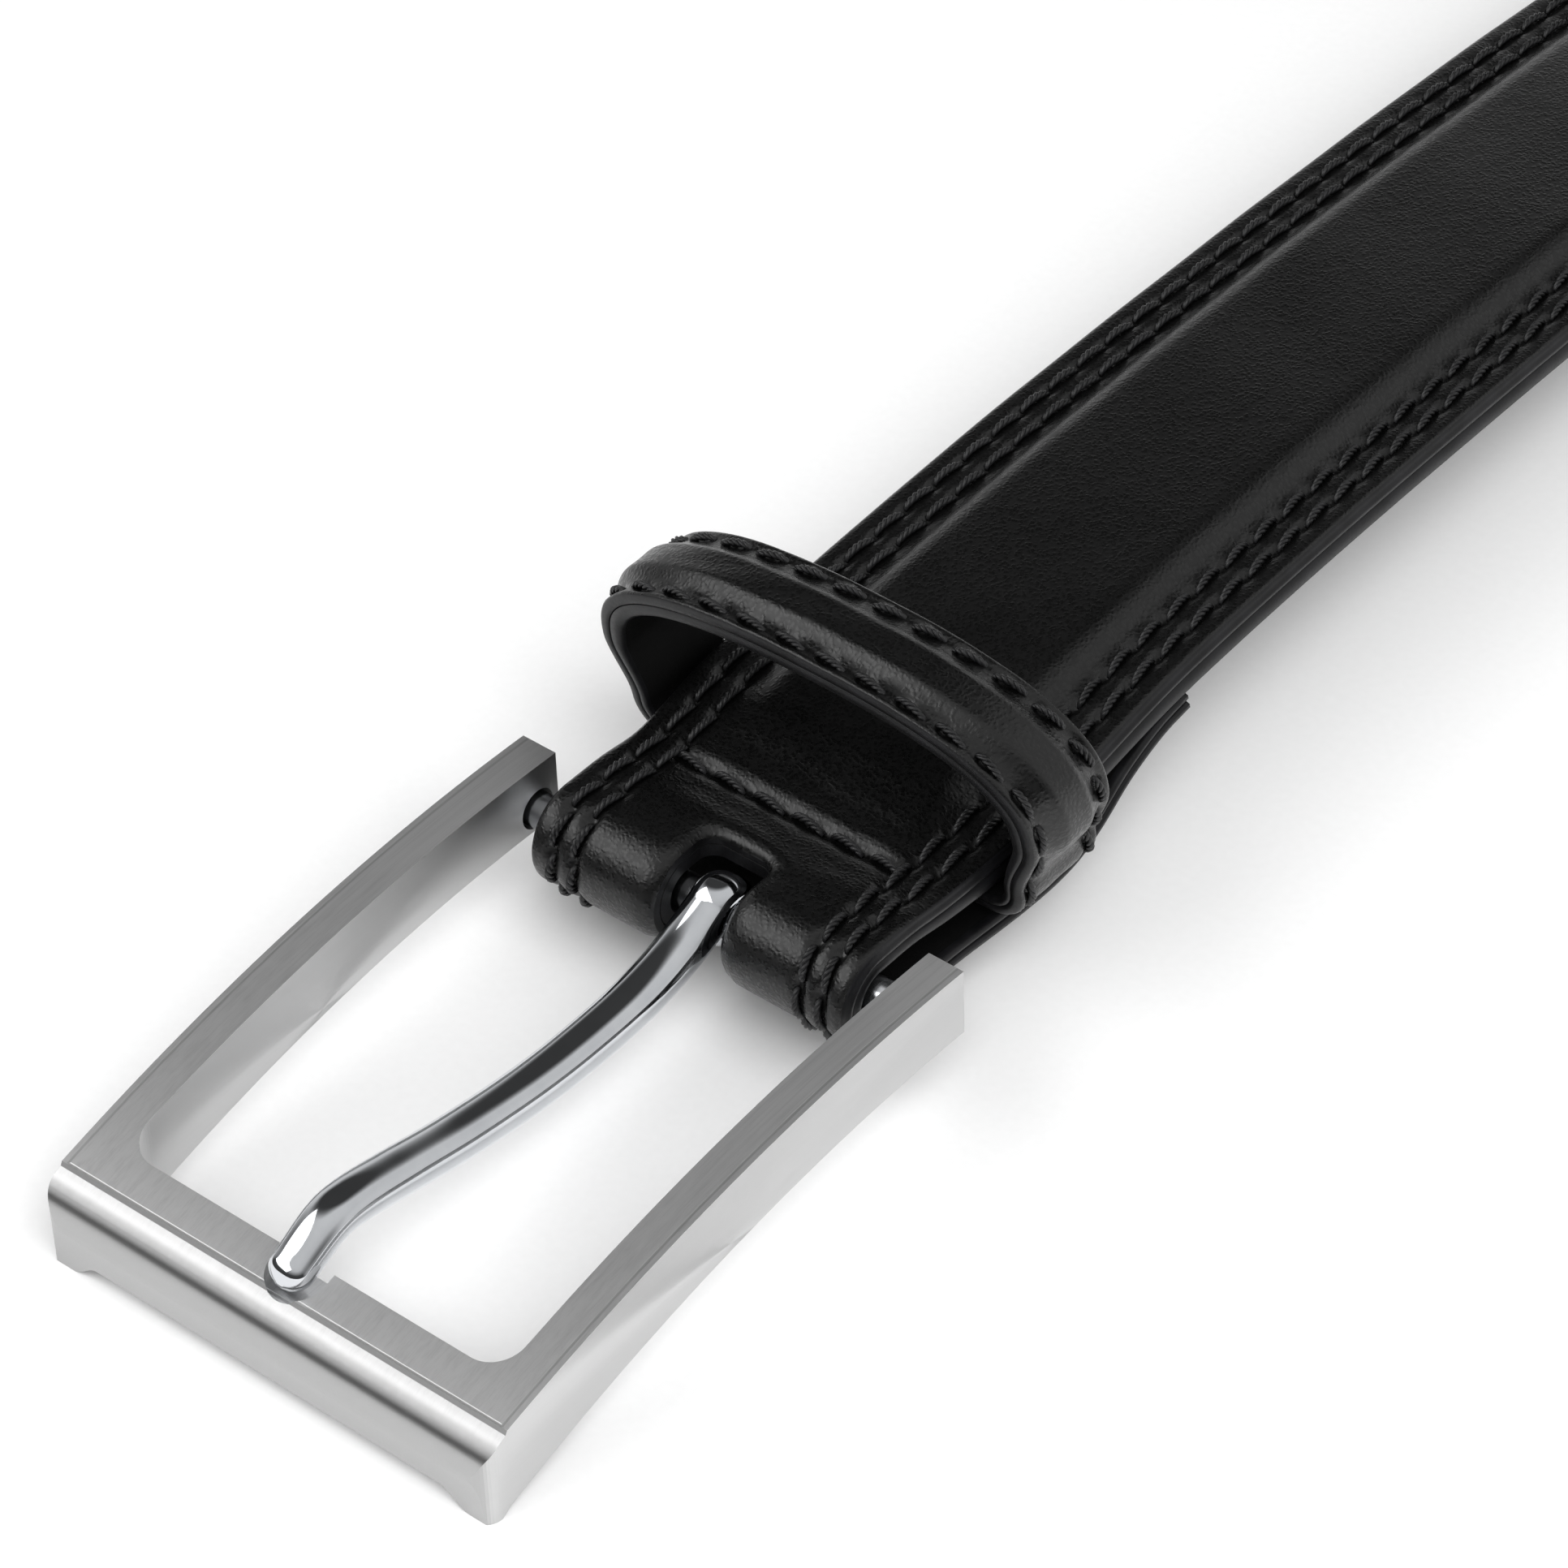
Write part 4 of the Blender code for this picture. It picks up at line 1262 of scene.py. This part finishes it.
            sewer = Sewer(pitch, side)
            piece = Piece(f"keeper_sewn_row_{name}", Body.KEEPER, (f"keeper_thread_{name}",),
                          "black_thread")
            sewer.join(piece, [sewer.stitches(np.arange(count) * pitch, place, True)], thread)

    def shell(self, piece: Piece, s: np.ndarray, v: np.ndarray, h: np.ndarray,
              painted: Sequence[slice], materials: Sequence[bpy.types.Material]) -> None:
        """Make one closed leather ring.

        Args:
            piece: piece to fill.
            s: distance of each row round the loop.
            v: distance along the belt, a ring of points for each row.
            h: height of the same points.
            painted: columns of the ring that are edge paint.
            materials: face and edge materials.
        """
        s, v, h = np.broadcast_arrays(s, v, h)
        rows, ring = h.shape
        uv = np.stack((s, v), axis=-1).reshape(-1, 2)
        item = piece.mesh(self.place(s, v, h), grid_quads(rows, ring, wrap_rows=True), materials,
                          uv, painted_slots((rows, ring), painted))
        face_outwards(item.data)
        piece.settle()


# --- buckle ---------------------------------------------------------------------------------


@dataclass(frozen=True)
class BuckleSize:
    """Sizes of the buckle, in millimetres."""

    half_width: float = 23.0
    window_half: float = 19.5
    window_corner: float = 3.0
    rear_y: float = 52.2
    top_arc: tuple[float, float, float] = (39.5, 14.12, 177.0)
    under_arc: tuple[float, float, float] = (41.0, 7.4, 150.0)
    crease_y: float = -3.4
    foot_back_y: float = -4.6
    foot_inner: float = 20.6
    relief: float = 1.7
    relief_run: float = 2.8
    notch_radius: float = 2.7
    notch_y: float = -1.15
    notch_floor: float = 8.15
    bore: float = 1.9
    bore_end: float = 21.5
    chamfer: float = 0.45
    chamfer_above_deg: float = 32.0
    plan_corner: float = 1.7
    bar_radius: float = 1.6
    bar_half: float = 21.2
    prong_half_width: float = 2.15
    prong_half_height: float = 1.7
    prong_exponent: float = 2.3
    eye_radius: float = 3.1


class Buckle:
    """Frame, heel bar and prong."""

    FRONT_FACE = ((-3.4, 8.55), (-4.6, 8.0), (-5.55, 7.15), (-6.05, 6.2), (-6.28, 5.2),
                  (-6.3, 4.5))
    LOWER_FACE = ((-6.3, 4.5), (-6.12, 3.4), (-6.0, 2.2), (-5.92, 1.0), (-5.88, 0.0))
    PRONG_LINE = ((-3.35, 9.5), (-2.6, 9.75), (-1.2, 10.4), (2.2, 11.9), (5.0, 12.0), (10.0, 10.9),
                  (17.0, 9.2), (25.0, 7.8), (32.0, 7.25), (39.0, 7.4), (44.5, 8.6), (BAR_Y, 10.7))

    def __init__(self, size: BuckleSize) -> None:
        """Keep the sizes.

        Args:
            size: buckle sizes.
        """
        self.size = size

    @staticmethod
    def arc_z(crest: tuple[float, float, float], y: np.ndarray) -> np.ndarray:
        """Height of a shallow crowned face at y."""
        return crest[1] - crest[2] + np.sqrt(crest[2] ** 2 - (y - crest[0]) ** 2)

    def side_outline(self) -> list[tuple[float, float]]:
        """Side view of the frame, from the rear of the arms round the front bar.

        Returns:
            Pairs of y and z in millimetres.
        """
        size = self.size
        top = np.linspace(size.rear_y, size.crease_y, 60)
        bottom = np.linspace(size.foot_back_y, size.rear_y, 60)
        outline = list(zip(top, self.arc_z(size.top_arc, top)))
        outline += hermite(self.FRONT_FACE, 6)[1:].tolist()
        outline += hermite(self.LOWER_FACE, 3)[1:].tolist()
        outline.append((size.foot_back_y, 0.0))
        outline += list(zip(bottom[1:], self.arc_z(size.under_arc, bottom[1:])))
        return outline

    @staticmethod
    def bay(half: float, front: float, corner: float, steps: int) -> list[Sequence[float]]:
        """A plan outline with rounded front corners, running back past the frame.

        Args:
            half: half width.
            front: y of its front edge.
            corner: radius of its corners.
            steps: facets of each corner.

        Returns:
            Pairs of x and y in millimetres.
        """
        left = arc(corner - half, front + corner, corner, 180.0, 270.0, steps).tolist()
        right = arc(half - corner, front + corner, corner, -90.0, 0.0, steps).tolist()
        return [(-half, 60.0), *left, *right, (half, 60.0)]

    def build_frame(self, metal: bpy.types.Material) -> None:
        """Make the cast frame with crisp chamfered edges.

        Args:
            metal: frame material.
        """
        size = self.size
        item = solid_prism("buckle_cast_frame", self.side_outline(), "x", -size.half_width,
                           size.half_width, metal)
        window = self.bay(size.window_half, 0.0, size.window_corner, 14)
        plan = self.bay(size.half_width, FRONT_Y, size.plan_corner, 10)
        step = np.linspace(0.0, 1.0, 12)
        rise = size.relief * smoothstep(step, 0.0, 1.0)
        left = np.column_stack((size.relief_run * step - size.foot_inner, rise))
        relief = [(-size.foot_inner, -3.0), *left.tolist(), *(left[::-1] * (-1.0, 1.0)).tolist(),
                  (size.foot_inner, -3.0)]
        notch = arc(0.0, size.notch_y, size.notch_radius, 180.0, 360.0, 24).tolist()
        notch += [(size.notch_radius, 1.0), (-size.notch_radius, 1.0)]
        ring = arc(BAR_Y, BAR_Z, size.bore, 0.0, 352.5, 47).tolist()
        outer = solid_prism("outer_guide", plan, "z", -3.0, 20.0, metal)
        carve(item, outer, "INTERSECT")
        guides = [solid_prism("window_guide", window, "z", -3.0, 20.0, metal),
                  solid_prism("relief_guide", relief, "y", -9.0, 0.5, metal),
                  solid_prism("notch_guide", notch, "z", size.notch_floor, 12.0, metal),
                  solid_prism("bore_guide", ring, "x", -size.bore_end, size.bore_end, metal)]
        for guide in guides:
            carve(item, guide)
        bevel = item.modifiers.new("chamfers", "BEVEL")
        bevel.width, bevel.segments, bevel.limit_method = size.chamfer * MM, 4, "ANGLE"
        bevel.angle_limit = math.radians(size.chamfer_above_deg)
        bevel.harden_normals = True
        item.data.shade_smooth()
        apply_modifiers(item, [outer, *guides])
        piece = Piece("buckle_cast_frame", Body.BUCKLE, ("buckle_frame",), "brushed_nickel")
        piece.object = item
        piece.settle()

    @staticmethod
    def turned(piece: Piece, profile: Sequence[Sequence[float]], metal: bpy.types.Material,
               sides: int = 48) -> bpy.types.Object:
        """A round solid about the heel bar's axis.

        Args:
            piece: piece to fill.
            profile: pairs of x and radius, from left to right.
            metal: material.
            sides: facets round the axis.

        Returns:
            The object.
        """
        angle = 2.0 * np.pi * np.arange(sides) / sides
        rows = [np.column_stack((np.full(sides, x), BAR_Y + r * np.cos(angle),
                                 BAR_Z + r * np.sin(angle))) for x, r in profile]
        count = len(profile)
        item = piece.mesh(np.concatenate(rows), grid_quads(count, sides), (metal,),
                          caps=tube_caps(count, sides))
        face_outwards(item.data)
        return item

    def build_bar(self, metal: bpy.types.Material) -> None:
        """Make the heel bar.

        Args:
            metal: bar material.
        """
        size = self.size
        r, end = size.bar_radius, size.bar_half
        profile = [(-end, r - 0.3), (-end + 0.12, r - 0.08), (-end + 0.3, r), (0.0, r),
                   (end - 0.3, r), (end - 0.12, r - 0.08), (end, r - 0.3)]
        piece = Piece("buckle_heel_bar", Body.BUCKLE, ("heel_bar",), "plated_steel")
        self.turned(piece, profile, metal)
        piece.settle()

    def build_prong(self, metal: bpy.types.Material) -> None:
        """Make the prong: a rounded sweep with a domed tip, joined to its eye.

        Args:
            metal: prong material.
        """
        size = self.size
        line = hermite(self.PRONG_LINE, 14)
        tangent = np.gradient(line, axis=0)
        tangent /= np.linalg.norm(tangent, axis=1)[:, None]
        s = distances(line)
        dome = np.sqrt(1.0 - (1.0 - np.clip(s / size.prong_half_height, 0.02, 1.0)) ** 2)
        share = dome * (0.9 + 0.1 * smoothstep(s, 0.0, 12.0))
        sides, squareness = 40, size.prong_exponent
        cx, sz = superellipse(2.0 * np.pi * np.arange(sides) / sides, squareness)
        x = size.prong_half_width * share[:, None] * cx
        up = size.prong_half_height * share[:, None] * sz
        points = np.stack((x, line[:, :1] - up * tangent[:, 1:], line[:, 1:] + up * tangent[:, :1]),
                          axis=-1)
        rows = len(line)
        piece = Piece("buckle_prong", Body.PRONG, ("prong",), "polished_chrome")
        item = piece.mesh(points, grid_quads(rows, sides), (metal,), caps=tube_caps(rows, sides))
        face_outwards(item.data)
        across = -np.cos(np.linspace(0.06, np.pi - 0.06, 17))
        lobe = (1.0 - np.abs(across) ** squareness) ** (1.0 / squareness)
        radius = size.eye_radius - size.prong_half_height * (1.0 - lobe)
        eye, bore = (self.turned(Piece(name, Body.PRONG, (), "polished_chrome"), profile, metal)
                     for name, profile in (
                         ("eye_guide", list(zip(size.prong_half_width * across, radius))),
                         ("eye_bore_guide", [(-5.0, size.bore), (5.0, size.bore)])))
        carve(item, eye, "UNION")
        carve(item, bore)
        apply_modifiers(item, (eye, bore))
        piece.settle()


# --- studio ---------------------------------------------------------------------------------


@dataclass(frozen=True)
class CameraPlan:
    """Where the camera stands, in the belt's own millimetres, and how it looks."""

    place: tuple[float, float, float] = (244.44, -228.36, 361.06)
    right: tuple[float, float, float] = (0.77652, 0.62950, -0.02748)
    up: tuple[float, float, float] = (-0.40938, 0.53719, 0.73745)
    lens: float = 144.69


@dataclass(frozen=True)
class WorldPlan:
    """Grey levels of the surroundings by height, before and behind the belt.

    The flag is a dark card: flat metal faces mirror it when seen from the camera, so they
    stay darker than the rounded front bar, which mirrors the pale backdrop.
    """

    near_bands: tuple[tuple[float, float], ...] = (
        (0.0, 0.06), (0.35, 0.08), (0.55, 0.35), (0.75, 0.75), (1.0, 0.9))
    far_bands: tuple[tuple[float, float], ...] = (
        (0.0, 0.9), (0.35, 0.9), (0.6, 0.85), (1.0, 0.9))
    behind: tuple[float, float] = (-0.25, 0.35)
    flag: tuple[float, float, float] = (-0.48, 0.465, 0.744)
    flag_reach: tuple[float, float] = (0.77, 0.93)
    flag_dark: float = 0.93
    strength: float = 0.82


class Studio:
    """Paper, soft lights and camera."""

    def build(self, paper: bpy.types.Material, plan: CameraPlan) -> None:
        """Make everything that isn't the belt.

        Args:
            paper: floor material.
            plan: camera position.
        """
        self.floor(paper)
        self.world(WorldPlan())
        self.softbox("key_softbox", (-454.0, -424.0, 626.0), (1000.0, 560.0), 3.9)
        self.softbox("fill_softbox", (640.0, -260.0, 800.0), (900.0, 900.0), 10.5, False)
        data = bpy.data.cameras.new("camera")
        data.lens, data.sensor_width = plan.lens, 36.0
        data.clip_start, data.clip_end = 0.01, 20.0
        data.dof.use_dof = False
        camera = enlist("camera", data)
        right, up = Vector(plan.right).normalized(), Vector(plan.up)
        back = right.cross(up).normalized()
        up = back.cross(right)
        turn = Matrix((right, up, back)).transposed().to_4x4()
        place = Vector((plan.place[0], plan.place[1] + SHIFT_Y, plan.place[2])) * MM
        camera.matrix_world = Matrix.Translation(place) @ turn
        bpy.context.scene.camera = camera
        bpy.context.scene.view_settings.view_transform = "Standard"

    def floor(self, paper: bpy.types.Material) -> None:
        """Lay a wide sheet of paper just under the belt."""
        data = bpy.data.meshes.new("paper_floor")
        reach = 3.0
        corners = [(-reach, -reach), (reach, -reach), (reach, reach), (-reach, reach)]
        data.from_pydata([(x, y, 0.0) for x, y in corners], [], [(0, 1, 2, 3)])
        data.materials.append(paper)
        floor = enlist("paper_floor", data)
        floor.location.z = -0.02 * MM

    @staticmethod
    def bands(nodes: Nodes, height: bpy.types.NodeSocket,
              stops: Sequence[tuple[float, float]]) -> bpy.types.NodeSocket:
        """A grey ramp from the horizon up.

        Args:
            nodes: world nodes.
            height: socket with the direction's height.
            stops: pairs of height and grey level.

        Returns:
            Colour socket.
        """
        ramp = nodes.add("ValToRGB", _0=height)
        steps = ramp.color_ramp.elements
        steps[1].position = stops[-1][0]
        for position, _ in stops[1:-1]:
            steps.new(position)
        for step, (_, level) in zip(steps, stops):
            step.color = (level, level, level, 1.0)
        return ramp.outputs[0]

    def world(self, plan: WorldPlan) -> None:
        """Surroundings for metal to mirror: a dark room in front, a pale backdrop behind.

        Args:
            plan: grey levels.
        """
        world = bpy.data.worlds.new("studio")
        world.use_nodes = True
        nodes = Nodes(world.node_tree)
        place = nodes.add("TexCoord").outputs["Generated"]
        _, depth, height = nodes.add("SeparateXYZ", _0=place).outputs
        near = self.bands(nodes, height, plan.near_bands)
        far = self.bands(nodes, height, plan.far_bands)
        room = nodes.mix(nodes.ramp(depth, *plan.behind), near, far)
        toward = nodes.add("VectorMath", {"operation": "DOT_PRODUCT"}, _0=place, _1=plan.flag)
        shade = nodes.ramp(toward.outputs["Value"], *plan.flag_reach, 0.0, plan.flag_dark)
        background = nodes.tree.nodes["Background"]
        nodes.feed(background.inputs[0], nodes.mix(shade, room, (0.0, 0.0, 0.0, 1.0)))
        background.inputs[1].default_value = plan.strength
        bpy.context.scene.world = world

    def softbox(self, name: str, place: Sequence[float], size: Sequence[float], power: float,
                mirrored: bool = True) -> None:
        """Add one soft light aimed at the buckle.

        Args:
            name: light name.
            place: millimetres.
            size: width and height in millimetres.
            power: watts.
            mirrored: whether shiny surfaces show it.
        """
        data = bpy.data.lights.new(name, "AREA")
        data.shape, data.energy = "RECTANGLE", power
        data.size, data.size_y = size[0] * MM, size[1] * MM
        light = enlist(name, data)
        light.location = Vector((place[0], place[1] + SHIFT_Y, place[2])) * MM
        aim = Vector((0.0, (40.0 + SHIFT_Y) * MM, 0.0)) - light.location
        light.visible_glossy = mirrored
        light.rotation_euler = aim.to_track_quat("-Z", "Y").to_euler()


# --- whole belt -----------------------------------------------------------------------------


def main() -> None:
    """Build every piece of the belt, then the studio."""
    logging.basicConfig(level=logging.INFO, format="%(name)s %(message)s")
    grain = GrainLeather().build()
    lining = LiningLeather().build()
    paint = EdgePaint().build()
    thread = WaxedThread().build()
    strap = Strap(StrapSize())
    strap.build_grain(grain, paint)
    strap.build_lining(lining, paint)
    strap.build_rows(thread)
    Keeper(KeeperSize()).build(grain, lining, paint, thread)
    buckle = Buckle(BuckleSize())
    buckle.build_frame(BrushedNickel().build())
    buckle.build_bar(PolishedMetal("plated_bar", "#cfd0d2", 0.16).build())
    buckle.build_prong(PolishedMetal("polished_chrome").build())
    Studio().build(StudioPaper().build(), CameraPlan())


if __name__ == "__main__":
    main()
